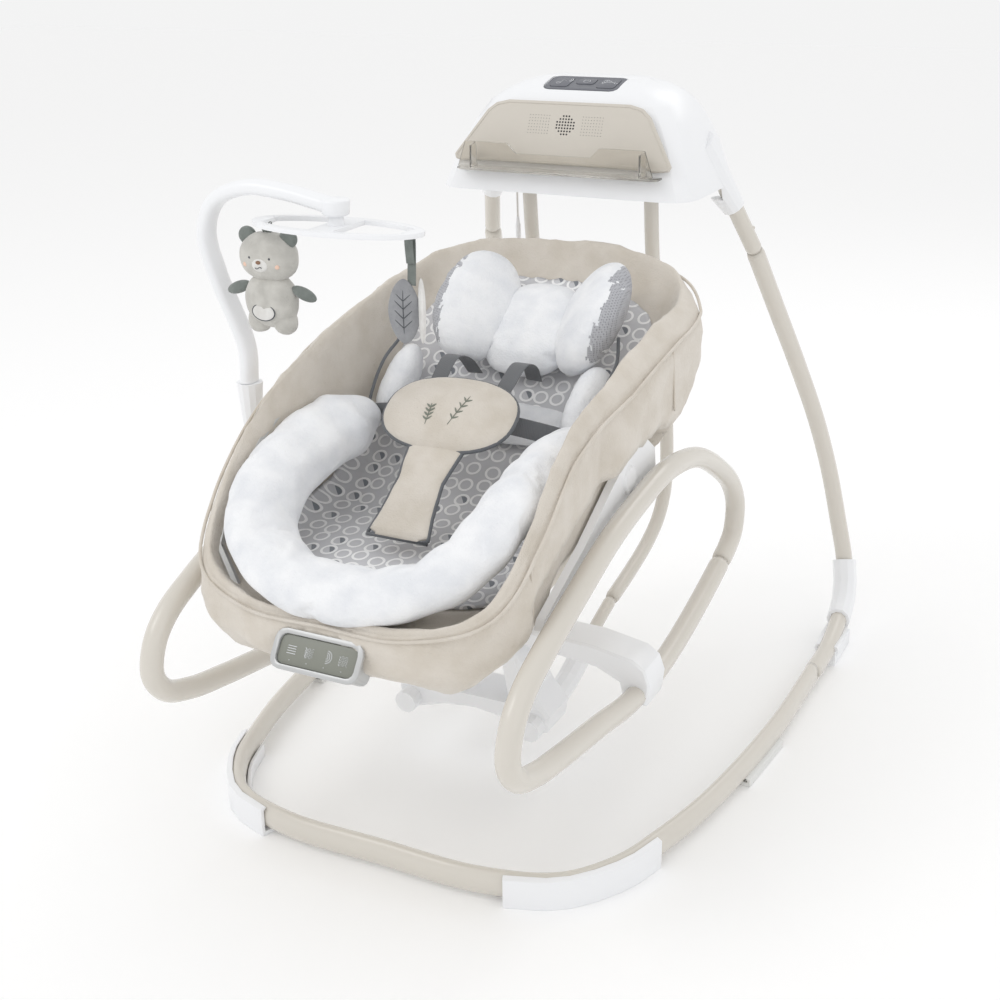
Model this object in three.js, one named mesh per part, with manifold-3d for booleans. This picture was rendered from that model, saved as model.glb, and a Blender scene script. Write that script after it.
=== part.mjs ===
// Baby swing with a lift-off rocking seat. Millimetres, +Z up, the seat's front faces -Y.
// The origin is on the floor, midway between the left and right sides and between front and back.
import * as THREE from 'three';
import { mergeVertices } from 'three/addons/utils/BufferGeometryUtils.js';
import Module from 'manifold-3d';

const wasm = await Module();
wasm.setup();

// ---- driving dimensions ----
const GAP = 0.4;                      // clearance between touching pieces
const BASE_TUBE = { halfHeight: 19, halfWidth: 11 };
const BASE_Z = 26;                    // centre of the base tube above the floor
const LOWER_LEG_R = 14;
const UPPER_LEG_R = 12.7;
const ARM_R = 11;
const ARM_X = 100;                    // swing arms, left and right of the middle
const ROCKER_R = 15;
const ROCKER_X = 250;                 // rocker loops, left and right of the middle
const AXLE = { r: 5, y0: 180, y1: 340, z: 872 };
const RECLINE_PIVOT = { x: 231, y: -156, z: 491 };
const HEAD_WALL = 3.5;
const KEY_TRAVEL = 0.8;               // soft keys
const SIDES = { l: -1, r: 1 };

// ---- colours and finishes ----
const finish = (color, roughness, metalness = 0, opacity = 1) =>
  new THREE.MeshStandardMaterial({ color, roughness, metalness, opacity, transparent: opacity < 1 });
const PAINT = finish('#d6d2ca', 0.3, 0.4);
const WHITE = finish('#f2f3f6', 0.3);
const BEIGE = finish('#cfcac0', 0.45);
const CLEAR = finish('#dcd8d6', 0.1, 0, 0.35);
const SLATE = finish('#6e6f78', 0.4);
const STEEL = finish('#a9a9a6', 0.35, 1);
const PLUSH = finish('#d8d2c8', 0.95);
const PRINT = finish('#c9c9cc', 0.9);
const SNOW = finish('#f4f4f5', 0.95);
const MESH = finish('#a9aab0', 0.9);
const WEBBING = finish('#6f7172', 0.9);
const SAGE = finish('#8c8e84', 0.35);
const GREEN = finish('#4d7f5a', 0.5);
const COPPER = finish('#b87a4a', 0.4, 0.9);
const CORD = finish('#e4e2de', 0.6);

// ---- solids ----
const vec = (x, y, z) => new THREE.Vector3(x, y, z);
const turn = THREE.MathUtils.degToRad;

// Merges the corners of a geometry, drops empty triangles and makes its faces point out.
function closed(geometry) {
  const bare = geometry.clone();
  for (const name of Object.keys(bare.attributes)) {
    if (name !== 'position') bare.deleteAttribute(name);
  }
  const merged = mergeVertices(bare, 1e-3);
  const at = merged.attributes.position;
  const triangles = [];
  let volume = 0;
  const [a, b, c] = [vec(0, 0, 0), vec(0, 0, 0), vec(0, 0, 0)];
  for (let i = 0; i < merged.index.count; i += 3) {
    const [p, q, r] = [0, 1, 2].map((k) => merged.index.getX(i + k));
    if (p === q || q === r || r === p) continue;
    a.fromBufferAttribute(at, p);
    b.fromBufferAttribute(at, q);
    c.fromBufferAttribute(at, r);
    volume += a.dot(b.cross(c));
    triangles.push([p, q, r]);
  }
  const order = volume < 0 ? triangles.map(([p, q, r]) => [p, r, q]) : triangles;
  merged.setIndex(order.flat());
  return merged;
}

function toManifold(geometry) {
  const g = closed(geometry);
  return new wasm.Manifold(new wasm.Mesh({
    numProp: 3,
    vertProperties: Float32Array.from(g.attributes.position.array),
    triVerts: Uint32Array.from(g.index.array),
  }));
}

function fromManifold(body) {
  const { vertProperties, triVerts } = body.getMesh();
  const g = new THREE.BufferGeometry();
  g.setAttribute('position', new THREE.BufferAttribute(Float32Array.from(vertProperties), 3));
  g.setIndex(Array.from(triVerts));
  return g;
}

const join = (...parts) => fromManifold(parts.map(toManifold).reduce((all, one) => all.add(one)));
const cut = (from, ...tools) => fromManifold(
  tools.map(toManifold).reduce((rest, one) => rest.subtract(one), toManifold(from)));

const smooth = (points, around = false) =>
  new THREE.CatmullRomCurve3(points.map((p) => vec(...p)), around, 'centripetal');

function ellipse(rx, ry, sides) {
  const ring = [];
  for (let i = 0; i < sides; i += 1) {
    const a = (2 * Math.PI * i) / sides;
    ring.push(new THREE.Vector2(rx * Math.cos(a), ry * Math.sin(a)));
  }
  return new THREE.Shape(ring);
}

// A bar of any section swept along a curve.
function sweep(curve, section, steps) {
  return closed(new THREE.ExtrudeGeometry(section, { extrudePath: curve, steps, bevelEnabled: false }));
}

const tube = (points, radius, steps, sides = 10) =>
  sweep(smooth(points), ellipse(radius, radius, sides), steps);

function box(w, d, h, x, y, z) {
  return new THREE.BoxGeometry(w, d, h).translate(x, y, z);
}

// A round bar from one point to another, which may narrow.
function rod(from, to, r0, r1 = r0, sides = 16) {
  const a = vec(...from);
  const b = vec(...to);
  const g = new THREE.CylinderGeometry(r1, r0, a.distanceTo(b), sides);
  g.translate(0, a.distanceTo(b) / 2, 0);
  g.applyQuaternion(new THREE.Quaternion().setFromUnitVectors(vec(0, 1, 0), b.clone().sub(a).normalize()));
  return g.translate(a.x, a.y, a.z);
}

// A flat plate with the outline's corners as given, its thickness along local +Z.
function plate(outline, thickness, bevel = 0) {
  const shape = new THREE.Shape(outline.map(([x, y]) => new THREE.Vector2(x, y)));
  const options = { depth: thickness - 2 * bevel, bevelEnabled: bevel > 0, steps: 1, curveSegments: 4 };
  if (bevel > 0) {
    Object.assign(options, { bevelThickness: bevel, bevelSize: bevel, bevelOffset: -bevel });
    options.bevelSegments = 1;
  }
  return new THREE.ExtrudeGeometry(shape, options).translate(0, 0, bevel);
}

function roundedRectangle(w, h, r, arc = 3) {
  const points = [];
  const corners = [[1, 1, 0], [-1, 1, 90], [-1, -1, 180], [1, -1, 270]];
  for (const [sx, sy, start] of corners) {
    for (let i = 0; i <= arc; i += 1) {
      const a = turn(start + (90 * i) / arc);
      points.push([sx * (w / 2 - r) + r * Math.cos(a), sy * (h / 2 - r) + r * Math.sin(a)]);
    }
  }
  return points;
}

// A closed skin through rings of equal count, closed at both ends.
function loft(rings) {
  const n = rings[0].length;
  const position = rings.flat().flatMap((p) => [p.x, p.y, p.z]);
  const index = [];
  for (let k = 0; k + 1 < rings.length; k += 1) {
    for (let i = 0; i < n; i += 1) {
      const j = (i + 1) % n;
      const [a, b, c, d] = [k * n + i, k * n + j, (k + 1) * n + j, (k + 1) * n + i];
      index.push(a, b, c, a, c, d);
    }
  }
  for (const [k, flip] of [[0, true], [rings.length - 1, false]]) {
    const middle = rings[k].reduce((sum, p) => sum.add(p), vec(0, 0, 0)).multiplyScalar(1 / n);
    const m = position.length / 3;
    position.push(middle.x, middle.y, middle.z);
    for (let i = 0; i < n; i += 1) {
      const j = (i + 1) % n;
      index.push(...(flip ? [m, k * n + j, k * n + i] : [m, k * n + i, k * n + j]));
    }
  }
  const g = new THREE.BufferGeometry();
  g.setAttribute('position', new THREE.Float32BufferAttribute(position, 3));
  g.setIndex(index);
  return closed(g);
}

// A plump pad: a ball pressed to a rounded box of half sizes a, b, c.
function pad(a, b, c, across = 14, down = 8, power = 0.75) {
  const g = new THREE.SphereGeometry(1, across, down);
  const at = g.attributes.position;
  const press = (t) => Math.sign(t) * Math.abs(t) ** power;
  for (let i = 0; i < at.count; i += 1) {
    at.setXYZ(i, a * press(at.getX(i)), b * press(at.getY(i)), c * press(at.getZ(i)));
  }
  return closed(g);
}

// Straight-line reading of a table of [position, value].
function reading(table) {
  return (t) => {
    if (t <= table[0][0]) return table[0][1];
    for (let i = 1; i < table.length; i += 1) {
      const [[a, va], [b, vb]] = [table[i - 1], table[i]];
      if (t <= b) return va + ((vb - va) * (t - a)) / (b - a);
    }
    return table[table.length - 1][1];
  };
}

// ---- assembly ----
const swing = new THREE.Group();

function add(name, geometry, material) {
  const mesh = new THREE.Mesh(closed(geometry), material);
  mesh.name = name;
  swing.add(mesh);
  return mesh;
}

const mirrored = (points, side) => points.map(([x, y, z]) => [side * x, y, z]);

// ---- stand: base, legs and feet ----
const BASE_HALF = [[147, -435], [245, -403], [299, -334], [325, -257], [348, -162], [365, -40],
  [377, 117], [378, 225], [378, 290]];
const LEG = [[378, 290.6, 26], [378, 378, 26], [374, 465, 42], [367, 529, 72], [357, 551, 117],
  [340, 555, 188], [319, 552, 278], [298, 524, 375], [274, 484, 472], [246, 420, 592], [226, 363, 688]];
const LEG_TOP = [[225.8, 362.4, 689], [204, 320, 762], [191, 296, 806]];
const onLeg = (t) => smooth(LEG_TOP).getPoint(t);

function baseTube(extra = 0) {
  const half = BASE_HALF.map(([x, y]) => [x, y, BASE_Z]);
  const path = [...mirrored(half, -1).reverse(), [0, -437, BASE_Z], ...half];
  const section = ellipse(BASE_TUBE.halfHeight + extra, BASE_TUBE.halfWidth + extra, 10);
  return sweep(smooth(path), section, 40);
}

const LEG_STEPS = 20;
const lowerLeg = (side, extra = 0) => tube(mirrored(LEG, side), LOWER_LEG_R + extra, LEG_STEPS);

// The upper leg's end carries the snap button that locks it into the lower leg.
function upperLeg(side) {
  const at = onLeg(0.22);
  const out = vec(0.82, 0.45, 0.35).normalize();
  const tip = at.clone().addScaledVector(out, UPPER_LEG_R + 3);
  const button = rod([side * at.x, at.y, at.z], [side * tip.x, tip.y, tip.z], 4, 3.4, 10);
  return join(tube(mirrored(LEG_TOP, side), UPPER_LEG_R, 4, 12), button);
}

const FOOT = { wall: 5, reach: 27 };

// A shoe under and around a stretch of the base tube: floor pad, outer wall and hooked top.
function shoe(path, side, steps, top) {
  const inner = BASE_TUBE.halfWidth + GAP;
  const outline = [[-inner - FOOT.wall, 0], [inner + FOOT.wall, 0], [inner + FOOT.wall, top],
    [inner - 3, top + 3], [inner - 4, top + 1], [inner, top - 3], [inner, 6.4], [-inner, 6.4],
    [-inner, 20], [-inner - FOOT.wall, 20]];
  const rings = [];
  const curve = smooth(path);
  for (let i = 0; i <= steps; i += 1) {
    const p = curve.getPoint(i / steps);
    const t = curve.getTangent(i / steps);
    const out = vec(-t.y, t.x, 0).normalize().multiplyScalar(-1);
    rings.push(outline.map(([w, h]) => vec(side * (p.x + out.x * w), p.y + out.y * w, h)));
  }
  return rings;
}

// Joins rings whose section is not convex: walls from the rings, ends from the flat outline.
function channel(rings) {
  const n = rings[0].length;
  const position = rings.flat().flatMap((p) => [p.x, p.y, p.z]);
  const index = [];
  for (let k = 0; k + 1 < rings.length; k += 1) {
    for (let i = 0; i < n; i += 1) {
      const j = (i + 1) % n;
      index.push(k * n + i, k * n + j, (k + 1) * n + j, k * n + i, (k + 1) * n + j, (k + 1) * n + i);
    }
  }
  for (const [k, flip] of [[0, true], [rings.length - 1, false]]) {
    const ring = rings[k];
    const along = ring[1].clone().sub(ring[0]).normalize();
    const flat = ring.map((p) => new THREE.Vector2(p.clone().sub(ring[0]).dot(along), p.z));
    for (const [a, b, c] of THREE.ShapeUtils.triangulateShape(flat, [])) {
      index.push(...(flip ? [k * n + c, k * n + b, k * n + a] : [k * n + a, k * n + b, k * n + c]));
    }
  }
  const g = new THREE.BufferGeometry();
  g.setAttribute('position', new THREE.Float32BufferAttribute(position, 3));
  g.setIndex(index);
  return closed(g);
}

const FRONT_SHOE = [[178, -430, 0], [245, -403, 0], [299, -334, 0], [320, -272, 0]];
const SIDE_SHOE = [[365, -40, 0], [371, 30, 0], [375, 90, 0]];

function rearFoot(side) {
  const heel = [[378, 380, 26], [374, 465, 42], [367, 529, 72], [357, 551, 117]];
  const body = join(
    sweep(smooth(mirrored(heel, side)), ellipse(LOWER_LEG_R + 6, LOWER_LEG_R + 6, 10), 6),
    box(34, 96, 26, side * 377, 424, 13),
  );
  const above = box(80, 190, 60, side * 377, 370, BASE_Z + 30 + 8);
  const under = box(120, 400, 60, side * 377, 450, -30);
  return cut(body, lowerLeg(side, GAP), above, under);
}

for (const [tag, side] of Object.entries(SIDES)) {
  add(`lower_leg_${tag}`, lowerLeg(side), PAINT);
  add(`upper_leg_${tag}`, upperLeg(side), PAINT);
  add(`front_foot_${tag}`, cut(channel(shoe(FRONT_SHOE, side, 8, 42)), baseTube(GAP)), WHITE);
  add(`side_pad_${tag}`, cut(channel(shoe(SIDE_SHOE, side, 2, 12)), baseTube(GAP)), WHITE);
  add(`rear_foot_${tag}`, rearFoot(side), WHITE);
}
add('base_tube', baseTube(), PAINT);

// ---- stand: motor head ----
const HEAD_RINGS = [[797, 200, 126, 352, 40], [825, 192, 133, 354, 44], [860, 181, 148, 350, 46],
  [895, 164, 163, 342, 48], [920, 147, 175, 334, 48], [933, 130, 190, 328, 46], [943, 110, 212, 318, 42],
  [950, 84, 238, 304, 34]];
const OVERLAY = { w: 118, d: 54, y: 226, z: 941, tilt: 14 };
const onOverlay = (g) => g.rotateX(turn(OVERLAY.tilt)).translate(0, OVERLAY.y, OVERLAY.z);

function headBlock(rings, inset, dz) {
  return loft(rings.map(([z, w, front, back, r]) =>
    roundedRectangle(2 * (w - inset), back - front - 2 * inset, r - inset)
      .map(([x, y]) => vec(x, y + (front + back) / 2, z + dz))));
}

// The leg socket is a tapering sleeve that runs from the head's side down the leg.
function legSocket(side) {
  const mouth = smooth(LEG_TOP).getPoint(0.55);
  return rod([side * 158, 262, 858], [side * (mouth.x + 1), mouth.y + 2, mouth.z - 6], 32, 17.5, 12);
}

function headHousing() {
  const skin = join(headBlock(HEAD_RINGS, 0, 0), legSocket(-1), legSocket(1));
  const hollow = headBlock([[780, 200, 126, 352, 40], ...HEAD_RINGS.slice(0, -1)], HEAD_WALL, -HEAD_WALL);
  const legs = [-1, 1].map((side) =>
    tube(mirrored([[211, 334, 740], ...LEG_TOP.slice(1), [189, 292, 813]], side), UPPER_LEG_R + GAP, 4, 12));
  const seat = roundedRectangle(OVERLAY.w + 2, OVERLAY.d + 2, 12);
  const overlay = onOverlay(plate(seat, 30).translate(0, 0, -0.6));
  return cut(skin, hollow, ...legs, overlay);
}

// Floor of the head, with the two bearing posts of the swing axle.
const BEARINGS = [186, 334];

function headBase() {
  const floor = headBlock([[797.5, 198, 126, 352, 40], [803, 198, 128, 352, 40]], HEAD_WALL + 3, 0);
  const slots = [-1, 1].map((side) => plate(roundedRectangle(102, 46, 12), 40).translate(side * 98, 236, 780));
  const door = box(120, 44, 40, 0, 288, 800);
  const legs = [-1, 1].map((side) => tube(mirrored(LEG_TOP, side), UPPER_LEG_R + 4, 4, 12));
  const posts = BEARINGS.map((y) => box(36, 10, 88, 0, y, 845));
  const axle = rod([0, 100, AXLE.z], [0, 400, AXLE.z], AXLE.r + 0.3, AXLE.r + 0.3, 20);
  return cut(join(floor, ...posts), ...slots, door, ...legs, axle);
}

add('head_housing', headHousing(), WHITE);
add('head_base', headBase(), WHITE);
add('battery_door', box(119, 43, 4, 0, 288, 799.6), WHITE);

// Front panel, leaning back with the head's front wall.
const PANEL_LEAN = turn(23.2);
const onPanel = (g) => g.rotateX(Math.PI / 2 - PANEL_LEAN).translate(0, 150.2, 872);
const PANEL = [[-150, -39], [150, -39], [167, -37], [170, -30], [128, 38], [115, 49], [95, 54], [-95, 54],
  [-115, 49], [-128, 38], [-170, -30], [-167, -37]];

function frontPanel() {
  const skin = plate(PANEL, 7, 1.5);
  const holes = [];
  for (let row = -1; row <= 1; row += 1) {
    for (let column = -1; column <= 1; column += 1) {
      holes.push(new THREE.BoxGeometry(3.6, 3.6, 20).translate(column * 6.4, 22 + row * 6.4, 0));
    }
  }
  return onPanel(cut(skin, ...holes));
}

add('front_panel', frontPanel(), BEIGE);

// Clear tray: a shelf and a low front wall with a dip in its middle.
function tray() {
  const floor = plate([[-147, 108], [147, 108], [158, 116], [158, 131], [-158, 131], [-158, 116]], 3)
    .translate(0, 0, 828);
  const wall = plate([[-146, 0], [146, 0], [152, 6], [140, 42], [72, 42], [58, 28], [-58, 28], [-72, 42],
    [-140, 42], [-152, 6]], 3).rotateX(Math.PI / 2).translate(0, 111, 828);
  const ends = [-1, 1].map((side) => box(3, 18, 34, side * 132, 119, 846));
  return join(floor, wall, ...ends);
}

add('tray', tray(), CLEAR);

// Control overlay and its soft keys, on the head's top.
const KEYS = { sound: [-37, 0, 28, 36], power: [0, 6, 28, 22], swing_speed: [37, 0, 28, 36] };

function overlay() {
  const skin = plate(roundedRectangle(OVERLAY.w, OVERLAY.d, 11), 3.4, 0.5);
  const wells = Object.values(KEYS).map(([x, y, w, d]) =>
    plate(roundedRectangle(w + 1, d + 1, 5, 2), 10).translate(x, y, 1));
  return onOverlay(cut(skin, ...wells));
}

add('control_overlay', overlay(), SLATE);
for (const [name, [x, y, w, d]] of Object.entries(KEYS)) {
  const cap = plate(roundedRectangle(w, d, 4.6, 2), 2.1).translate(x, y, 1 + KEY_TRAVEL + 0.2);
  add(`${name}_key`, onOverlay(cap), SLATE);
}

// Inside the head.
add('circuit_board', box(96, 56, 1.6, 0, 262, 922), GREEN);
add('speaker', rod([0, 173, 892], [0, 180, 892], 13, 17, 16), finish('#3a3a3c', 0.6));

add('swing_axle', rod([0, AXLE.y0, AXLE.z], [0, AXLE.y1, AXLE.z], AXLE.r, AXLE.r, 20), STEEL);
add('drive_coil', cut(
  rod([0, 236, 803.5], [0, 236, 814], 20, 20, 20),
  rod([0, 236, 790], [0, 236, 830], 9, 9, 16)), COPPER);

function batteries() {
  const cells = [];
  for (const x of [-29, 29]) {
    for (const z of [818, 846]) cells.push(rod([x - 25, 288, z], [x + 25, 288, z], 12.5, 12.5, 12));
  }
  return join(box(9, 28, 56, 0, 288, 832), ...cells);
}

add('batteries', batteries(), finish('#6d7f8c', 0.4, 0.4));

// ---- swing arms ----
const ARM = [[100, 234, 843], [100, 240, 800], [100, 256, 681], [100, 304, 515], [100, 337, 388],
  [100, 338, 290], [100, 310, 245], [100, 262, 218], [100, 190, 197], [100, 110, 180]];
const ARM_END = [[100, 107.6, 179.3], [100, 56, 163], [100, -10, 136], [100, -56, 119], [100, -134, 106],
  [100, -170, 103]];

const swingArm = (side, extra = 0) => tube(mirrored(ARM, side), ARM_R + extra, 20);
const armEnd = (side, extra = 0) => tube(mirrored(ARM_END, side), ARM_R - 1.5 + extra, 8);

function armYoke() {
  const beam = box(2 * ARM_X + 40, 34, 26, 0, 236, AXLE.z);
  const sockets = [-1, 1].map((side) =>
    rod([side * ARM_X, 235, 835], [side * ARM_X, 236, AXLE.z], 16, 16, 12));
  const stem = box(18, 18, 40, 0, 236, 850);
  const ends = [-1, 1].map((side) =>
    rod([side * ARM_X, 234, 830], [side * ARM_X, 234, 844], ARM_R + GAP, ARM_R + GAP, 12));
  return cut(join(beam, ...sockets, stem),
    rod([0, 180, AXLE.z], [0, 300, AXLE.z], AXLE.r + GAP, AXLE.r + GAP, 20),
    swingArm(-1, GAP), swingArm(1, GAP), ...ends);
}

add('arm_yoke', armYoke(), finish('#cfd0d2', 0.5));
add('drive_magnet', rod([0, 236, 818], [0, 236, 829.6], 9, 9, 16), STEEL);
for (const [tag, side] of Object.entries(SIDES)) {
  add(`swing_arm_${tag}`, swingArm(side), PAINT);
  add(`arm_end_${tag}`, armEnd(side), PAINT);
}

// Cradle: two sleeves on the arm ends, and a saddle between them that carries the seat.
const BRIDGE = { y: -135, width: 62, top: 246, under: 222 };

function cradle() {
  const web = [[-118, 92], [-92, 86], [-50, 100], [0, 106], [50, 100], [92, 86], [118, 92], [122, 118],
    [96, 150], [78, 190], [66, BRIDGE.under - 0.5], [-66, BRIDGE.under - 0.5], [-78, 190], [-96, 150], [-122, 118]];
  const body = plate(web, 74, 5).rotateX(Math.PI / 2).translate(0, BRIDGE.y + 37, 0);
  const sleeves = [-1, 1].map((side) =>
    tube(mirrored([[100, 30, 153], [100, -56, 119], [100, -134, 106], [100, -192, 102]], side), 17, 5, 10));
  const bores = [-1, 1].flatMap((side) => [
    armEnd(side, GAP),
    rod([side * 100, -168, 103], [side * 100, -171.5, 103], ARM_R - 1, ARM_R - 1, 10)]);
  const opening = plate([[-62, 128], [62, 128], [48, 200], [-48, 200]], 120).rotateX(Math.PI / 2)
    .translate(0, BRIDGE.y + 60, 0);
  return cut(join(body, ...sleeves), ...bores, opening);
}

add('cradle', cradle(), WHITE);

// ---- rocker: loops, bridge and brackets ----
const ROCKER_FRONT = [[-134, 179], [-200, 184], [-289, 201], [-414, 222], [-485, 237], [-535, 258],
  [-556, 290], [-546, 330], [-518, 359], [-456, 388], [-357, 422], [-264, 451], [-164, 469], [-74, 477], [47, 458],
  [150, 408], [222, 355], [247, 312], [240, 272], [215, 254], [184, 242]];
const ROCKER_REAR = [[181, 240.6], [94, 215], [9, 195], [-60, 184], [-131, 179]];
const inLoop = (points, side) => points.map(([y, z]) => [side * ROCKER_X, y, z]);
const rockerBar = (points, side, steps, extra = 0) => tube(inLoop(points, side), ROCKER_R + extra, steps, 8);
const rockerTube = (side, extra) => rockerBar(ROCKER_FRONT, side, 40, extra);
const rockerRail = (side, extra) => rockerBar(ROCKER_REAR, side, 7, extra);

function bridge() {
  const outline = [[-266, 168], [-232, 168], [-226, 196], [-190, 212], [-120, 219], [-70, BRIDGE.under],
    [70, BRIDGE.under], [120, 219], [190, 212], [226, 196], [232, 168], [266, 168], [270, 200], [262, 222],
    [244, 234], [180, 245], [100, 246], [-100, 246], [-180, 245], [-244, 234], [-262, 222], [-270, 200]];
  const body = plate(outline, BRIDGE.width, 3).rotateX(Math.PI / 2)
    .translate(0, BRIDGE.y + BRIDGE.width / 2, 0);
  const joint = BRIDGE.y + 2;
  const room = [-1, 1].flatMap((side) => [rockerTube(side, GAP), rockerRail(side, GAP),
    rod([side * ROCKER_X, joint - 4, 179], [side * ROCKER_X, joint + 4, 179], ROCKER_R, ROCKER_R, 8)]);
  return cut(body, ...room);
}

// Side bracket: a long tapered plate inside the loop's top run, with the recline boss.
const BRACKET = [[-424, 392], [-404, 386], [-330, 416], [-240, 446], [-160, 462], [-90, 468], [-60, 480],
  [-64, 506], [-100, 532], [-138, 522], [-176, 516], [-210, 500], [-300, 452], [-416, 404]];

function bracketPlate(thickness, inner) {
  return plate(BRACKET, thickness).rotateX(Math.PI / 2).rotateZ(Math.PI / 2).translate(inner, 0, 0);
}

function bracket(side) {
  const body = join(
    bracketPlate(11, 220),
    rod([220, RECLINE_PIVOT.y, RECLINE_PIVOT.z], [231, RECLINE_PIVOT.y, RECLINE_PIVOT.z], 27, 27, 24),
    rod([230, RECLINE_PIVOT.y, RECLINE_PIVOT.z], [234.4, RECLINE_PIVOT.y, RECLINE_PIVOT.z], 20, 17, 24));
  const { y, z } = RECLINE_PIVOT;
  const bore = rod([200, y, z], [229, y, z], 8.4, 8.4, 20);
  const g = cut(body, bore);
  return side > 0 ? g : closed(g.scale(-1, 1, 1));
}

for (const [tag, side] of Object.entries(SIDES)) {
  add(`rocker_tube_${tag}`, rockerTube(side), PAINT);
  add(`rocker_rail_${tag}`, rockerRail(side), PAINT);
  add(`seat_bracket_${tag}`, bracket(side), WHITE);
}
add('bridge', bridge(), WHITE);

// ---- seat ----
const RIM = [[0, -528, 410], [108, -526, 413], [184, -490, 438], [204, -420, 512], [206, -330, 588],
  [208, -180, 635], [212, -50, 660], [212, 55, 675], [185, 115, 700], [105, 150, 717], [0, 160, 722]];
const FLOOR = reading([[-528, 400], [-460, 414], [-330, 420], [-225, 428], [-150, 466], [30, 612],
  [160, 716]]);
const UNDER = reading([[-528, 352], [-490, 312], [-375, 292], [-225, 300], [-125, 345], [30, 480], [125, 600],
  [160, 650]]);
const HEM_DROP = reading([[-528, 55], [-450, 90], [-330, 112], [-180, 128], [0, 118], [100, 80], [160, 60]]);
const FLARE = reading([[-528, 12], [-450, 20], [-330, 22], [-250, 28], [-180, 40], [-50, 42], [60, 38],
  [120, 20], [160, 8]]);
const rimCurve = smooth([...RIM, ...mirrored(RIM.slice(1, -1).reverse(), -1)], true);
const SEAT_MIDDLE = [0, -190];
const AROUND = 28;
const LINER = 16;                     // height of the printed pad above the cover's floor
const LINER_GAP = 4;

// A point outside the rim: so far out along the flare and so far down the hem.
function skirtPoint(u, out, down) {
  const p = rimCurve.getPoint(u);
  const t = rimCurve.getTangent(u);
  const away = vec(t.y, -t.x, 0).normalize().multiplyScalar(out * FLARE(p.y));
  return p.clone().add(away).setZ(p.z - down * HEM_DROP(p.y));
}

// Draws a point in towards the seat's middle, onto a centre line that rises to the point's own height.
function inwards(p, r, line, power, lift = 0) {
  const x = SEAT_MIDDLE[0] + (p.x - SEAT_MIDDLE[0]) * r;
  const y = SEAT_MIDDLE[1] + (p.y - SEAT_MIDDLE[1]) * r;
  return vec(x, y, line(y) + (p.z - line(p.y)) * r ** power + lift);
}

const ringOf = (count, point) => Array.from({ length: count }, (_, i) => point(i / count));
const padLine = (y) => FLOOR(y) - LINER;
const WALL_POWER = 14;

function coverSkin() {
  const hem = [0.85, 1];
  const skirt = [hem, [1, 0.6], [0.92, 0.32], [0.55, 0.08], [0, 0]];
  return loft([
    ...[0.05, 0.4, 0.7, 0.9].map((r) => ringOf(AROUND, (u) => inwards(skirtPoint(u, ...hem), r, UNDER, 3))),
    ...skirt.map((s) => ringOf(AROUND, (u) => skirtPoint(u, ...s))),
    ...[0.95, 0.86, 0.78, 0.5, 0.05].map((r) =>
      ringOf(AROUND, (u) => inwards(rimCurve.getPoint(u), r, padLine, WALL_POWER))),
  ]);
}

// The printed pad lies in the cover and thins out towards its edge.
function liner() {
  const reach = 0.86;
  const layer = (r, lift) => ringOf(AROUND, (u) =>
    inwards(rimCurve.getPoint(u), r, padLine, WALL_POWER, lift));
  const steps = [0.05, 0.5, 0.78, reach];
  const edge = LINER_GAP + 2;
  return loft([
    ...steps.map((r) => layer(r, LINER_GAP)),
    ...steps.toReversed().map((r) => layer(r, LINER - (LINER - edge) * (r / reach) ** 6)),
  ]);
}

const HOOP_R = 8;
const HOOP_FRONT = -500;               // the hoop passes behind the vibration unit

// The steel hoop runs inside the cover's edge.
function hoopPath() {
  const points = ringOf(16, (u) => {
    const p = skirtPoint(u, 0.3, 0);
    return p.setY(Math.max(p.y, HOOP_FRONT)).setZ(p.z - 32);
  });
  return new THREE.CatmullRomCurve3(points, true, 'centripetal');
}

// Recline pins run from the hoop down to the brackets.
function reclinePins(extra) {
  const beside = hoopPath().getPoints(200).filter((p) => p.x > 0)
    .reduce((best, p) => (Math.abs(p.y - RECLINE_PIVOT.y) < Math.abs(best.y - RECLINE_PIVOT.y) ? p : best));
  return [-1, 1].map((side) => {
    const arm = tube([[side * beside.x, beside.y, beside.z], [side * (beside.x - 6), beside.y, 540],
      [side * 206, RECLINE_PIVOT.y, RECLINE_PIVOT.z]], 7 + extra, 3, 8);
    const pin = rod([side * (198 - extra), RECLINE_PIVOT.y, RECLINE_PIVOT.z],
      [side * (228.4 + extra), RECLINE_PIVOT.y, RECLINE_PIVOT.z], 8 + extra, 8 + extra, 16);
    return join(arm, pin);
  });
}

const hoop = (extra) => sweep(hoopPath(), ellipse(HOOP_R + extra, HOOP_R + extra, 8), 28);

// Room that the bracket needs as the seat tilts over it.
const BRACKET_ROOM = [[-440, 372], [-440, 442], [-190, 536], [-90, 540], [-40, 528], [-40, 440], [-300, 380]];

function bracketRoom(side) {
  const g = plate(BRACKET_ROOM, 50).rotateX(Math.PI / 2).rotateZ(Math.PI / 2).translate(216, 0, 0);
  return side > 0 ? g : closed(g.scale(-1, 1, 1));
}

// Vibration unit at the foot, leaning back. Local X is across, local Y up its face, local Z out of it.
const UNIT = { y: -546.7, z: 366, lean: 35 };
const onUnit = (g) => g.rotateX(Math.PI / 2 - turn(UNIT.lean)).translate(0, UNIT.y, UNIT.z);
const unitBox = (extra) => onUnit(
  plate(roundedRectangle(112 + 2 * extra, 44 + 2 * extra, 10), 34 + 2 * extra).translate(0, 0, -28 - extra));
const unitRim = (extra) => onUnit(
  plate(roundedRectangle(122 + 2 * extra, 50 + 2 * extra, 14), 5.4 + 2 * extra).translate(0, 0, 5.5 - extra));

add('seat_cover', cut(coverSkin(), hoop(1), ...reclinePins(1), bracketRoom(1), bracketRoom(-1),
  unitBox(2), unitRim(1)), PLUSH);
add('seat_frame', join(hoop(0), ...reclinePins(0)), STEEL);

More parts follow.
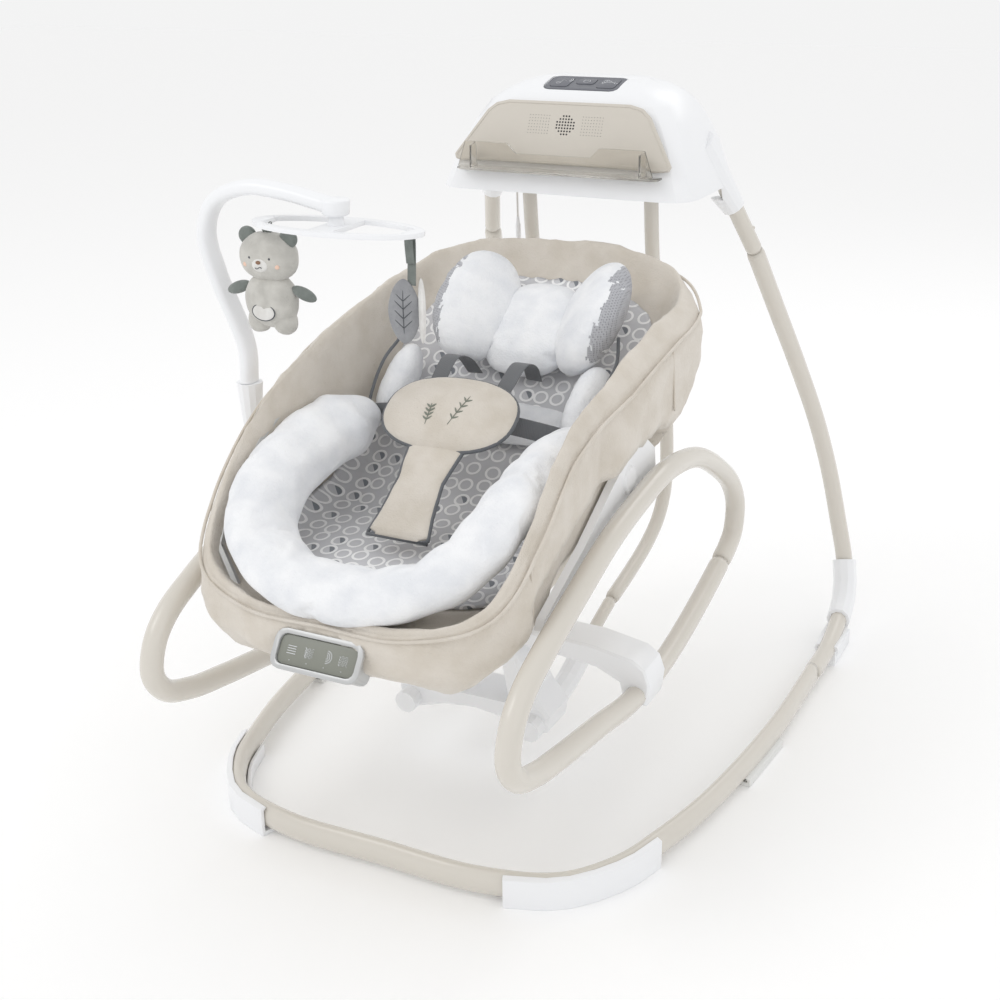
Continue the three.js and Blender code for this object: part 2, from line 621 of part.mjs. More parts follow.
add('seat_liner', liner(), PRINT);


// Height of the printed pad's upper side.
const top = (x, y) => FLOOR(y) + 190 * Math.min(1, Math.abs(x) / 208) ** WALL_POWER;

// Bolster: a padded U round the seat, open towards the back.
const BOLSTER = [[92, -168], [130, -212], [137, -290], [133, -360], [108, -425], [60, -466], [0, -478]];

function bolster() {
  const half = BOLSTER.map(([x, y]) => [x, y, top(x, y) + 31]);
  const path = smooth([...mirrored(half.slice(0, -1), -1), ...half.toReversed()]);
  return sweep(path, ellipse(22, 38, 8), 22);
}

add('bolster', bolster(), SNOW);

const tilt = (y) => Math.atan2(FLOOR(y + 30) - FLOOR(y - 30), 60);
const lay = (g, x, y, lift, roll = 0) =>
  g.rotateY(roll).rotateX(tilt(y)).translate(x, y, top(x, y) + lift);

function headPillow() {
  const wings = [-1, 1].map((side) => lay(pad(30, 80, 44, 10, 6), side * 100, 20, 56, side * -0.3));
  return join(lay(pad(92, 76, 26, 12, 6), 0, 20, 36), ...wings);
}

add('head_pillow', headPillow(), MESH);

function bodySupport() {
  const wings = [-1, 1].map((side) => lay(pad(20, 62, 34, 10, 6), side * 146, -95, 44, side * -0.25));
  const back = lay(new THREE.BoxGeometry(292, 70, 6), 0, -95, 10);
  return join(back, ...wings);
}

add('body_support', bodySupport(), SNOW);

// Harness: crotch pad, belly pad and webbing.
const CROTCH = [[0, -388, 458], [0, -350, 478], [0, -300, 502], [0, -262, 520]];
const BELLY = { y: -205, z: 572, tilt: turn(33) };

add('crotch_pad', sweep(smooth(CROTCH), ellipse(5, 42, 8), 5), PLUSH);
add('belly_pad', pad(95, 61, 11, 14, 6).rotateX(BELLY.tilt).translate(0, BELLY.y, BELLY.z), PLUSH);
const WAIST = [[-150, -150, 520], [-95, -170, 534], [-40, -192, 541], [40, -192, 541], [95, -170, 534],
  [150, -150, 520]];
const SHOULDER = [[42, -72, 582], [44, -90, 604], [46, -120, 602], [44, -150, 584]];
const STRAP_R = 2;
add('waist_strap', tube(WAIST, STRAP_R, 16, 6), WEBBING);
for (const [tag, side] of Object.entries(SIDES)) {
  add(`shoulder_strap_${tag}`, tube(mirrored(SHOULDER, side), STRAP_R, 8, 6), WEBBING);
}

// Vibration unit: a housing with a raised rim, and the pressing panel in it.
function vibrationUnit() {
  const well = onUnit(plate(roundedRectangle(108, 37, 9), 30).translate(0, 0, 3));
  return cut(join(unitBox(0), unitRim(0)), well);
}

const PANEL_TRAVEL = 1;
add('vibration_unit', vibrationUnit(), WHITE);
add('mode_panel', onUnit(plate(roundedRectangle(107, 36, 8.5), 3, 0.5)
  .translate(0, 0, 3.4 + PANEL_TRAVEL)), SAGE);

// ---- toys ----
const HUB = [-105, -300, 846];
const POST = [[-283, -262, 590], [-283, -262, 640], [-304, -284, 740], [-306, -298, 800], [-284, -302, 842],
  [-235, -302, 862], [-180, -301, 860], HUB];

function toyArm() {
  const hub = rod([HUB[0], HUB[1], 836], [HUB[0], HUB[1], 856], 17, 19, 12);
  return join(sweep(smooth(POST), ellipse(9, 14, 8), 22), hub);
}

const RING = { z: 818, length: 244, width: 100, band: 11, thick: 6 };

function toyRing() {
  const outer = ellipse(RING.length / 2, RING.width / 2, 28);
  const inner = ellipse(RING.length / 2 - RING.band, RING.width / 2 - RING.band, 20);
  outer.holes.push(new THREE.Path(inner.getPoints()));
  const rim = new THREE.ExtrudeGeometry(outer, { depth: RING.thick, bevelEnabled: false });
  const bar = box(34, RING.width - 8, RING.thick, 0, 0, RING.thick / 2);
  const earX = RING.length / 2 - RING.band - 4;
  const ears = [-1, 1].map((side) => box(16, 24, RING.thick, side * earX, 0, RING.thick / 2));
  const stem = rod([0, 0, 2], [0, 0, 17.5], 12, 9, 12);
  return join(rim, bar, stem, ...ears).translate(HUB[0], HUB[1], RING.z);
}

add('toy_socket', join(
  rod([-283, -262, 530], [-283, -262, 589.5], 13, 18, 12),
  rod([-283, -262, 545], [-254, -262, 545], 9, 9, 8)), WHITE);
add('toy_arm', toyArm(), WHITE);
add('toy_ring', toyRing(), WHITE);

// Hanging toys: a bear and a pair of leaves, each on a ribbon under the ring.
function bear(x, y, z) {
  const ribbonDown = box(7, 2, 18, 0, 0, -9);
  const head = pad(42, 22, 31, 10, 6, 0.9).translate(0, 0, -42);
  const body = pad(38, 21, 35, 10, 6, 0.85).translate(0, 0, -98);
  const limbs = [-1, 1].flatMap((side) => [
    pad(12, 7, 11, 6, 4).translate(side * 31, 0, -17),
    pad(19, 7, 9, 6, 4).rotateY(side * 0.35).translate(side * 50, 0, -86),
    pad(16, 13, 14, 6, 4).translate(side * 20, 0, -126)]);
  return join(ribbonDown, head, body, ...limbs).translate(x, y, z);
}

function leaves(x, y, z) {
  const ribbonDown = box(7, 2, 62, 0, 0, -31);
  const blades = [-1, 1].map((side) =>
    pad(17, 5, 37, 8, 6).rotateY(side * -0.12).rotateZ(side * 0.5).translate(side * 14, side * 5, -94));
  return join(ribbonDown, box(26, 10, 8, 0, 0, -64), ...blades).translate(x, y, z);
}

const HANG_Z = RING.z - 2.2;           // room under the ring for a swinging ribbon
add('bear', bear(HUB[0] - RING.length / 2 + 18, HUB[1], HANG_Z), finish('#cbc9c3', 0.95));
add('leaves', leaves(HUB[0] + RING.length / 2 - 18, HUB[1], HANG_Z), finish('#9a9b9e', 0.95));

// ---- seat lead: from the swing head to a connector, and on into the seat's back ----
const LEAD_R = 1.5;
const LEAD_TOP = [[-124, 240, 829], [-124, 243, 810], [-124, 247, 785], [-125, 250, 760], [-126, 253, 735]];
const LEAD_LOW = [[-126, 255, 694], [-126, 257, 670], [-125, 255, 640], [-122, 245, 605], [-116, 222, 572],
  [-108, 190, 556], [-102, 160, 560], [-98, 138, 578]];

function connector() {
  return join(
    rod([-126, 253.4, 734.6], [-126, 254, 722], 2.2, 3.2, 10),
    rod([-126, 254, 723], [-126, 255, 702], 4, 4, 10),
    rod([-126, 255, 703], [-126, 255, 694.4], 3.2, 2.2, 10));
}

add('lead_top', tube(LEAD_TOP, LEAD_R, 14, 8), CORD);
add('lead_connector', connector(), CORD);
add('lead_low', tube(LEAD_LOW, LEAD_R, 18, 8), CORD);

export default swing;
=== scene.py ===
import math

import bmesh
import bpy
from mathutils import Matrix, Vector, noise


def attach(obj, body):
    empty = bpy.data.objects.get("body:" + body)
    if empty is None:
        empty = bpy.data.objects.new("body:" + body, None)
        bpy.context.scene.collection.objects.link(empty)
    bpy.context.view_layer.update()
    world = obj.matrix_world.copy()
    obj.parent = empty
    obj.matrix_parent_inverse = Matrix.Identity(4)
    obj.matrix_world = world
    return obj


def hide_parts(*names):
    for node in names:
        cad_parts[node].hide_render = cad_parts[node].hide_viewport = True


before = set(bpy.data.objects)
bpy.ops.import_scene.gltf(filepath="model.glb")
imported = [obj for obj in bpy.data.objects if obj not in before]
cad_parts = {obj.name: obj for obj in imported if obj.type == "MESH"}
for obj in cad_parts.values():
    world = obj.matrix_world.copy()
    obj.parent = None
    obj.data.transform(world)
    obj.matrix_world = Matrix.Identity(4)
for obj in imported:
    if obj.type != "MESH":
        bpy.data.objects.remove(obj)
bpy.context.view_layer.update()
MM = 0.001
SIDES = {"l": -1, "r": 1}


# ---- curves and skins; lengths are in millimetres until a mesh is made ----

def spline(points, closed=False):
    """A smooth curve through the points, as a function of t from 0 to 1."""
    knots = [Vector(p) for p in points]
    spans = len(knots) if closed else len(knots) - 1

    def at(i):
        if closed:
            return knots[i % len(knots)]
        if i < 0:
            return 2 * knots[0] - knots[1]
        if i >= len(knots):
            return 2 * knots[-1] - knots[-2]
        return knots[i]

    def point(t):
        k = min(int(t * spans), spans - 1)
        f = t * spans - k
        a, b, c, d = (at(k + j) for j in (-1, 0, 1, 2))
        da, db, dc = (max((q - p).length, 1e-6) ** 0.5 for p, q in ((a, b), (b, c), (c, d)))
        m1 = ((b - a) / da - (c - a) / (da + db) + (c - b) / db) * db
        m2 = ((c - b) / db - (d - b) / (db + dc) + (d - c) / dc) * db
        return b + m1 * f + (3 * (c - b) - 2 * m1 - m2) * f * f + (2 * (b - c) + m1 + m2) * f ** 3

    return point


def along(points, count, closed=False):
    """count + 1 points at even distances along the smooth curve."""
    curve = spline(points, closed)
    fine = [curve(i / (count * 8)) for i in range(count * 8 + 1)]
    reach = [0.0]
    for a, b in zip(fine, fine[1:]):
        reach.append(reach[-1] + (b - a).length)
    result = []
    k = 0
    for i in range(count + 1):
        want = reach[-1] * i / count
        while k < len(fine) - 2 and reach[k + 1] < want:
            k += 1
        share = (want - reach[k]) / max(reach[k + 1] - reach[k], 1e-9)
        result.append(fine[k].lerp(fine[k + 1], min(share, 1)))
    return result


def mirrored(points, side):
    return [(side * x, y, z) for x, y, z in points]


def reading(table):
    """A line through a table of (place, value), as a function."""
    def value(x):
        for (x0, v0), (x1, v1) in zip(table, table[1:]):
            if x <= x1:
                return v0 + (v1 - v0) * max(0.0, (x - x0) / (x1 - x0))
        return table[-1][1]
    return value


def oval(rx, ry, sides=24, power=1.0):
    """A ring of (across, up) pairs; a power under 1 squares it off."""
    ring = []
    for i in range(sides):
        c, s = math.cos(math.tau * i / sides), math.sin(math.tau * i / sides)
        ring.append((rx * math.copysign(abs(c) ** power, c), ry * math.copysign(abs(s) ** power, s)))
    return ring


def loft(rings, caps=True, closed=False):
    """A skin through rings of equal count."""
    shell = bmesh.new()
    rows = [[shell.verts.new(p) for p in ring] for ring in rings]
    count = len(rows[0])
    for low, high in zip(rows, rows[1:] + rows[:1] if closed else rows[1:]):
        for i in range(count):
            j = (i + 1) % count
            shell.faces.new((low[i], low[j], high[j], high[i]))
    if caps and not closed:
        shell.faces.new(rows[0])
        shell.faces.new(rows[-1])
    return shell


def sweep(points, section, across=None, closed=False):
    """A section carried along the points. section is a ring, or a function of t that gives one."""
    rings = []
    side = None
    last = len(points) - 1
    for i, p in enumerate(points):
        before = points[i - 1] if i or closed else p
        after = points[(i + 1) % len(points)] if i < last or closed else p
        ahead = (after - before).normalized()
        side = Vector(across) if across else (side or ahead.orthogonal())
        side = (side - ahead * side.dot(ahead)).normalized()
        lift = ahead.cross(side)
        ring = section(i / last) if callable(section) else section
        rings.append([p + side * a + lift * b for a, b in ring])
    return loft(rings, closed=closed)


def tube(points, radius, steps=80):
    """A round bar with slightly rounded ends."""
    line = along(points, steps)

    def ring(t):
        end = 1.5 if min(t, 1 - t) * steps < 0.5 else 0
        return oval(radius - end, radius - end)
    return sweep(line, ring)


def pad(a, b, c, square=0.85, lens=1.0, fine=3):
    """A stuffed pad on the origin, with its seam round the edge in the X-Y plane."""
    shape = bmesh.new()
    bmesh.ops.create_uvsphere(shape, u_segments=16 * fine, v_segments=8 * fine, radius=1)
    for v in shape.verts:
        flat = math.hypot(v.co.x, v.co.y)
        c0, s0 = (v.co.x / flat, v.co.y / flat) if flat > 1e-6 else (1, 0)
        out = flat ** 0.8
        v.co.x = a * out * math.copysign(abs(c0) ** square, c0)
        v.co.y = b * out * math.copysign(abs(s0) ** square, s0)
        v.co.z = c * math.copysign(abs(v.co.z) ** lens, v.co.z)
    return shape


def place(shape, turn, at):
    """Turns a shape by a matrix and moves it."""
    bmesh.ops.transform(shape, matrix=Matrix.Translation(at) @ turn, verts=shape.verts)
    return shape


def spin_x(degrees):
    return Matrix.Rotation(math.radians(degrees), 4, "X")


def spin_y(degrees):
    return Matrix.Rotation(math.radians(degrees), 4, "Y")


def spin_z(degrees):
    return Matrix.Rotation(math.radians(degrees), 4, "Z")


def gather(*shapes):
    """Several shapes in one mesh."""
    first = shapes[0]
    for other in shapes[1:]:
        spare = bpy.data.meshes.new("spare")
        other.to_mesh(spare)
        other.free()
        first.from_mesh(spare)
        bpy.data.meshes.remove(spare)
    return first


def make(name, shape, material, body, *nodes, sharp=None):
    """The shape as a piece of the object: it rides on a body and stands for the named CAD nodes."""
    bmesh.ops.scale(shape, vec=(MM, MM, MM), verts=shape.verts)
    bmesh.ops.recalc_face_normals(shape, faces=shape.faces)
    mesh = bpy.data.meshes.new(name)
    shape.to_mesh(mesh)
    shape.free()
    mesh.shade_smooth()
    if sharp:
        mesh.set_sharp_from_angle(angle=math.radians(sharp))
    mesh.materials.append(material)
    piece = bpy.data.objects.new(name, mesh)
    bpy.context.scene.collection.objects.link(piece)
    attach(piece, body)
    if nodes:
        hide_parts(*nodes)
    return piece


def ruffle(shape, amount, size, seed=0.0):
    """Pushes the skin in and out by soft noise."""
    shape.normal_update()
    for v in shape.verts:
        at = v.co / size + Vector((seed, seed, seed))
        v.co += v.normal * amount * noise.fractal(at, 0.9, 2.2, 3)
    return shape


CLOTH_FRAMES = 20                     # length of each cushion's simulation


def inflate(piece, voxel=5, cap=7, pressure=4.0):
    """Lets air into a closed cloth skin, which takes the folds of a stuffed cushion.

    No point moves by more than cap millimetres."""
    scene = bpy.context.scene
    even_mesh = piece.modifiers.new("voxels", "REMESH")
    even_mesh.mode = "VOXEL"
    even_mesh.voxel_size = voxel * MM
    settle(piece)
    rest = [v.co.copy() for v in piece.data.vertices]
    cloth = piece.modifiers.new("cloth", "CLOTH")
    cloth.settings.quality = 5
    cloth.settings.mass = 0.3
    cloth.settings.tension_stiffness = 12
    cloth.settings.compression_stiffness = 12
    cloth.settings.bending_stiffness = 0.4
    cloth.settings.shrink_min = -0.06
    cloth.settings.use_pressure = True
    cloth.settings.uniform_pressure_force = pressure
    cloth.settings.effector_weights.gravity = 0
    cloth.point_cache.frame_start = 1
    cloth.point_cache.frame_end = CLOTH_FRAMES
    for step in range(1, CLOTH_FRAMES + 1):
        scene.frame_set(step)
    settle(piece)
    scene.frame_set(1)
    for v, start in zip(piece.data.vertices, rest):
        moved = v.co - start
        if moved.length > cap * MM:
            v.co = start + moved.normalized() * cap * MM
    finer = piece.modifiers.new("finer", "SUBSURF")
    finer.levels = 1
    settle(piece)
    piece.data.shade_smooth()
    return piece


def settle(piece):
    """Applies a piece's modifiers to its mesh."""
    bpy.context.view_layer.update()
    shaped = piece.evaluated_get(bpy.context.evaluated_depsgraph_get())
    finished = bpy.data.meshes.new_from_object(shaped)
    if not finished.materials:
        for look in piece.data.materials:
            finished.materials.append(look)
    piece.modifiers.clear()
    piece.data = finished


# ---- materials ----


def linear(code):
    """An sRGB hex colour as linear RGBA."""
    parts = [int(code[i:i + 2], 16) / 255 for i in (1, 3, 5)]
    return [c / 12.92 if c <= 0.04045 else ((c + 0.055) / 1.055) ** 2.4 for c in parts] + [1.0]


def node(tree, kind, links=None, **settings):
    """Adds a node with its settings; links gives its inputs' values or the sockets that feed them."""
    added = tree.nodes.new(kind)
    for key, value in settings.items():
        setattr(added, key, value)
    for key, value in (links or {}).items():
        if isinstance(value, bpy.types.NodeSocket):
            tree.links.new(value, added.inputs[key])
        else:
            added.inputs[key].default_value = value
    return added


def material(name, slot, code, roughness, **sockets):
    """A principled material: gives it, its tree, its shader and its object coordinates."""
    made = bpy.data.materials.new(name)
    made.use_nodes = True
    tree = made.node_tree
    shader = tree.nodes["Principled BSDF"]
    shader.inputs["Base Color"].default_value = linear(code)
    shader.inputs["Roughness"].default_value = roughness
    for key, value in sockets.items():
        shader.inputs[key.replace("_", " ")].default_value = value
    place_node = node(tree, "ShaderNodeTexCoord")
    return made, tree, shader, place_node.outputs["Object"]


def grain(tree, coords, size, detail=2.0, stretch=(1, 1, 1)):
    """Noise whose features are about size millimetres."""
    scaled = node(tree, "ShaderNodeMapping", {"Vector": coords, "Scale": stretch})
    return node(tree, "ShaderNodeTexNoise", {
        "Vector": scaled.outputs[0], "Scale": 1000 / size, "Detail": detail}).outputs[0]


def relief(tree, shader, height, depth, under=None):
    """Bumps of that depth in millimetres, over an earlier bump's normal if given."""
    links = {"Height": height, "Distance": depth * MM, "Strength": 1.0}
    if under is not None:
        links["Normal"] = under
    bump = node(tree, "ShaderNodeBump", links)
    tree.links.new(bump.outputs[0], shader.inputs["Normal"])
    return bump.outputs[0]


def ramp(tree, value, low, high, stops):
    """A colour between stops as value goes from low to high."""
    share = node(tree, "ShaderNodeMapRange", {"Value": value, "From Min": low, "From Max": high})
    mix = node(tree, "ShaderNodeMix", {0: share.outputs[0], 6: linear(stops[0]), 7: linear(stops[1])},
               data_type="RGBA")
    return mix.outputs[2]


def moulded(name, slot, code, roughness, depth=0.012, **sockets):
    """Injection-moulded plastic: a very fine spark grain breaks the highlight's edge."""
    made, tree, shader, coords = material(name, slot, code, roughness, **sockets)
    relief(tree, shader, grain(tree, coords, 0.9), depth)
    return made


def powder_coat():
    """Powder-coated steel: glossy, with the slow ripple of orange peel."""
    made, tree, shader, coords = material("Powder-coated steel", "paint", "#d6d1c8", 0.27,
                                          Coat_Weight=0.35, Coat_Roughness=0.12)
    relief(tree, shader, grain(tree, coords, 3.5), 0.02)
    return made


def clear_plastic():
    """Tinted clear polycarbonate: thin, a little smoky, with bright edges."""
    made, tree, shader, coords = material("Clear polycarbonate", "clear", "#f3f0ea", 0.06, IOR=1.45,
                                          Transmission_Weight=0.93)
    relief(tree, shader, grain(tree, coords, 25), 0.05)
    return made


def plush(name, slot, code, dark, pile=2.2, depth=0.9, nap=38):
    """Short-pile plush: tufts, and a brushed nap in broad soft bumps, whose sheen and shade are painted into
    the colour as lighter and darker areas.
    """
    made, tree, shader, coords = material(name, slot, code, 0.95, Sheen_Weight=0.35, Sheen_Roughness=0.45)
    nap_bumps_and_shade = grain(tree, coords, nap, 4)
    # painted sheen and shade: the colour runs from the darker given colour to the lighter one across the
    # nap's noise
    tree.links.new(ramp(tree, nap_bumps_and_shade, 0.32, 0.62, (dark, code)), shader.inputs["Base Color"])
    tufts = grain(tree, coords, pile, 3)
    first = relief(tree, shader, tufts, depth)
    relief(tree, shader, nap_bumps_and_shade, 3.0, first)
    return made


def printed_cotton():
    """Woven cotton with a printed repeat of white rings, some of them half filled with grey."""
    made, tree, shader, coords = material("Printed cotton", "print", "#c9c9cc", 0.9, Sheen_Weight=0.15)
    split = node(tree, "ShaderNodeSeparateXYZ", {0: coords})
    run = node(tree, "ShaderNodeMath", {0: split.outputs[1], 1: 0.8}, operation="MULTIPLY")
    rise = node(tree, "ShaderNodeMath", {0: split.outputs[2], 1: 0.6, 2: run.outputs[0]},
                operation="MULTIPLY_ADD")
    flat = node(tree, "ShaderNodeCombineXYZ", {0: split.outputs[0], 1: rise.outputs[0]})
    cells = node(tree, "ShaderNodeTexVoronoi", {"Vector": flat.outputs[0], "Scale": 1000 / 26,
                                                "Randomness": 0.28}, voronoi_dimensions="2D")
    off = node(tree, "ShaderNodeMath", {0: cells.outputs["Distance"], 1: 0.36}, operation="SUBTRACT")
    ring = node(tree, "ShaderNodeMath", {0: off.outputs[0]}, operation="ABSOLUTE")
    on_ring = node(tree, "ShaderNodeMath", {0: ring.outputs[0], 1: 0.065}, operation="LESS_THAN")
    pick = node(tree, "ShaderNodeSeparateXYZ", {0: cells.outputs["Color"]})
    chosen = node(tree, "ShaderNodeMath", {0: pick.outputs[0], 1: 0.62}, operation="GREATER_THAN")
    inner = node(tree, "ShaderNodeMath", {0: cells.outputs["Distance"], 1: 0.27}, operation="LESS_THAN")
    away = node(tree, "ShaderNodeVectorMath", {0: flat.outputs[0], 1: cells.outputs["Position"]},
                operation="SUBTRACT")
    lean = node(tree, "ShaderNodeVectorMath", {0: away.outputs[0], 1: (0.8, 0.6, 0)}, operation="DOT_PRODUCT")
    half = node(tree, "ShaderNodeMath", {0: lean.outputs["Value"], 1: 0.0008}, operation="GREATER_THAN")
    filled = node(tree, "ShaderNodeMath", {0: chosen.outputs[0], 1: inner.outputs[0]}, operation="MULTIPLY")
    filled = node(tree, "ShaderNodeMath", {0: filled.outputs[0], 1: half.outputs[0]}, operation="MULTIPLY")
    ground = node(tree, "ShaderNodeMix", {0: filled.outputs[0], 6: linear("#d0d0d3"), 7: linear("#83878d")},
                  data_type="RGBA")
    drawn = node(tree, "ShaderNodeMix", {0: on_ring.outputs[0], 6: ground.outputs[2], 7: linear("#fbfbfb")},
                 data_type="RGBA")
    tree.links.new(drawn.outputs[2], shader.inputs["Base Color"])
    first = relief(tree, shader, grain(tree, coords, 1.0), 0.25)
    relief(tree, shader, grain(tree, coords, 30, 3), 2.5, first)
    return made


def air_mesh():
    """Knitted air mesh: a close net of small holes in pale grey yarn, with painted shade darkening the holes.
    """
    made, tree, shader, coords = material("Knitted air mesh", "white_plush", "#a9aab0", 0.85,
                                          Sheen_Weight=0.2)
    cells = node(tree, "ShaderNodeTexVoronoi", {"Vector": coords, "Scale": 1000 / 3.0, "Randomness": 0.15})
    net = cells.outputs["Distance"]
    # painted shade: the colour darkens towards each hole's middle
    tree.links.new(ramp(tree, net, 0.15, 0.5, ("#85868c", "#b7b8bd")), shader.inputs["Base Color"])
    relief(tree, shader, net, 1.0)
    return made


def webbing(name, slot, code):
    """Woven polyester: fine ribs straight across the strap."""
    made, tree, shader, coords = material(name, slot, code, 0.75, Sheen_Weight=0.2)
    ribs = node(tree, "ShaderNodeTexWave", {"Vector": coords, "Scale": 160.0, "Distortion": 0.4})
    relief(tree, shader, ribs.outputs[1], 0.35)
    return made


powder = powder_coat()
# Hard plastics: shells and shoes and the head's shield; and dark discs that are painted shade for the speaker
# holes in it.
white = moulded("Moulded white ABS", "white", "#f1f2f4", 0.28)
beige = moulded("Moulded beige ABS", "beige", "#cbc5bb", 0.42)
black = moulded("Painted speaker hole shade", "black", "#3a3a3c", 0.8)
# Film over the controls, the pale marks printed on it, and the foot unit's bezel and film.
slate = moulded("Printed polycarbonate film", "slate", "#62646c", 0.38, 0.006)
ink = moulded("Pale ink", "slate", "#dfe1e4", 0.5, 0.004)
silver = moulded("Satin silver plastic", "silver", "#c3c4c4", 0.3, Metallic=0.35)
lens = moulded("Grey-green film", "sage", "#85877e", 0.3, 0.006)
# Matt grips under the floor tube, the lead's skin, and the see-through pocket.
rubber = moulded("Moulded rubber", "rubber", "#e4e4e2", 0.7, 0.04)
lead_skin = moulded("Flexible vinyl sheath", "cord", "#e2e0dc", 0.5, 0.01)
clear = clear_plastic()
# Seat fabrics: the soft cover, and the brighter and deeper pile of the white cushions; each plush's second
# colour is its painted nap shade.
velour = plush("Crushed velour", "plush", "#d8d1c7", "#cfc7bb")
snow = plush("White plush", "white_plush", "#f3f4f6", "#e6e8ec", pile=2.6, depth=1.0)
# Toy fabrics: a short pile in four greys, each with a darker second colour for its painted nap shade.
toy_plush = plush("Grey toy plush", "grey_plush", "#cac8c2", "#b9b7b1", pile=1.6, depth=0.5, nap=20)
sage_plush = plush("Grey-green toy cloth", "grey_plush", "#7c827e", "#6f7571", pile=1.4, depth=0.4, nap=16)
leaf_cloth = plush("Grey leaf cloth", "grey_plush", "#98999c", "#8b8c8f", pile=1.4, depth=0.4, nap=16)
pale_cloth = plush("Pale toy cloth", "grey_plush", "#e2e1de", "#d6d4d0", pile=1.4, depth=0.4, nap=16)
# Stitched and stuck details of the toys' faces and leaves.
thread = moulded("Dark embroidery thread", "grey_plush", "#55585c", 0.8, 0.05)
nose_thread = moulded("Brown embroidery thread", "grey_plush", "#8a6a55", 0.8, 0.05)
cheek = moulded("Peach felt", "grey_plush", "#e8c7b4", 0.9, 0.05)
# The printed pad and the pillow's net.
cotton = printed_cotton()
mesh_cloth = air_mesh()
# Ribbed weaves: the harness, the corded edges and the embroidery on the belly pad.
strap = webbing("Grey webbing", "webbing", "#6c6e71")
piping = webbing("Grey piping", "webbing", "#66696d")
sprig = webbing("Green-grey embroidery", "webbing", "#7f8478")

CAD_LOOKS = {
    white: ("head_base", "battery_door", "cradle", "seat_bracket_l", "seat_bracket_r", "lead_connector",
            "toy_socket", "arm_yoke"),
}
for look, names in CAD_LOOKS.items():
    for name in names:
        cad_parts[name].data.materials.clear()
        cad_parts[name].data.materials.append(look)


# ---- lead between the head and the seat ----

LEAD_TOP = [(-124, 240, 829), (-124, 243, 810), (-124, 247, 785), (-125, 250, 760), (-126, 253, 735)]
LEAD_LOW = [(-126, 255, 694), (-126, 257, 670), (-125, 255, 640), (-122, 245, 605), (-116, 222, 572),
            (-108, 190, 556), (-102, 160, 560), (-98, 138, 578)]
LEAD_D = 3.0


def lead(name, points, body):
    line = along(points, 60)
    piece = make(name + "_sheath", sweep(line, oval(LEAD_D / 2, LEAD_D / 2, 12)), lead_skin, body, name)


lead("lead_top", LEAD_TOP, "swing")
lead("lead_low", LEAD_LOW, "seat")


# ---- stand ----

BASE_Z = 26
BASE_HALF = [(x, y, BASE_Z) for x, y in (
    (147, -435), (245, -403), (299, -334), (325, -257), (348, -162), (365, -40), (377, 117), (378, 225),
    (378, 290))]
BASE = mirrored(BASE_HALF, -1)[::-1] + [(0, -437, BASE_Z)] + BASE_HALF
LEG = [(378, 290.6, 26), (378, 378, 26), (374, 465, 42), (367, 529, 72), (357, 551, 117), (340, 555, 188),
       (319, 552, 278), (298, 524, 375), (274, 484, 472), (246, 420, 592), (226, 363, 688)]
LEG_TOP = [(225.8, 362.4, 689), (204, 320, 762), (191, 296, 806)]
ARM = [(100, 234, 843), (100, 240, 800), (100, 256, 681), (100, 304, 515), (100, 337, 388), (100, 338, 290),
       (100, 310, 245), (100, 262, 218), (100, 190, 197), (100, 110, 180)]
ARM_END = [(100, 107.6, 179.3), (100, 56, 163), (100, -10, 136), (100, -56, 119), (100, -134, 106),
           (100, -170, 103)]
BASE_HEIGHT_R = 19                    # the flattened floor tube's two half widths
BASE_DEPTH_R = 11
LEG_R = 14
LEG_TOP_R = 12.7
ARM_R = 11
ARM_END_R = 9.5
BUTTON_R = 3.6                        # snap button of a leg joint, and its distance from the leg's line
BUTTON_OUT = 11.6


def stand_tubes():
    section = oval(BASE_HEIGHT_R, BASE_DEPTH_R, 32, 0.92)
    make("base_tube_skin", sweep(along(BASE, 200), section, across=(0, 0, 1)), powder, "stand", "base_tube")
    for tag, side in SIDES.items():
        lower = tube(mirrored(LEG, side), LEG_R, 120)
        make(f"lower_leg_{tag}_skin", lower, powder, "stand", f"lower_leg_{tag}")
        upper = tube(mirrored(LEG_TOP, side), LEG_TOP_R, 24)
        at = spline(mirrored(LEG_TOP, side))(0.22)
        button = bmesh.new()
        bmesh.ops.create_uvsphere(button, u_segments=16, v_segments=8, radius=BUTTON_R)
        outward = Vector((0.82 * side, 0.45, 0.35)).normalized()
        place(button, Matrix(), at + outward * BUTTON_OUT)
        make(f"upper_leg_{tag}_skin", gather(upper, button), powder, "stand", f"upper_leg_{tag}")


def swing_arms():
    for tag, side in SIDES.items():
        arm = tube(mirrored(ARM, side), ARM_R, 110)
        make(f"swing_arm_{tag}_skin", arm, powder, "swing", f"swing_arm_{tag}")
        end = tube(mirrored(ARM_END, side), ARM_END_R, 40)
        make(f"arm_end_{tag}_skin", end, powder, "swing", f"arm_end_{tag}")


stand_tubes()
swing_arms()


def softened(node_name, material_used, body, bevel=1.2, angle=32):
    """A CAD shell with its coplanar triangles joined and its sharp edges rounded."""
    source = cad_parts[node_name].data
    shape = bmesh.new()
    shape.from_mesh(source)
    bmesh.ops.scale(shape, vec=(1000, 1000, 1000), verts=shape.verts)
    bmesh.ops.remove_doubles(shape, verts=shape.verts, dist=0.02)
    bmesh.ops.dissolve_limit(shape, angle_limit=math.radians(1.5), verts=shape.verts, edges=shape.edges)
    edges = [e for e in shape.edges if len(e.link_faces) == 2 and e.calc_face_angle(0) > math.radians(angle)
             and e.calc_length() > 0.5]
    bmesh.ops.bevel(shape, geom=edges, offset=bevel, offset_type="OFFSET", segments=3, profile=0.5,
                    affect="EDGES", material=-1, clamp_overlap=True)
    return make(f"{node_name}_shell", shape, material_used, body, node_name, sharp=28)


for tag in SIDES:
    softened(f"front_foot_{tag}", white, "stand")
    softened(f"rear_foot_{tag}", white, "stand")
    softened(f"side_pad_{tag}", rubber, "stand")


# ---- control head ----

softened("head_housing", white, "stand", 1.5, 24)


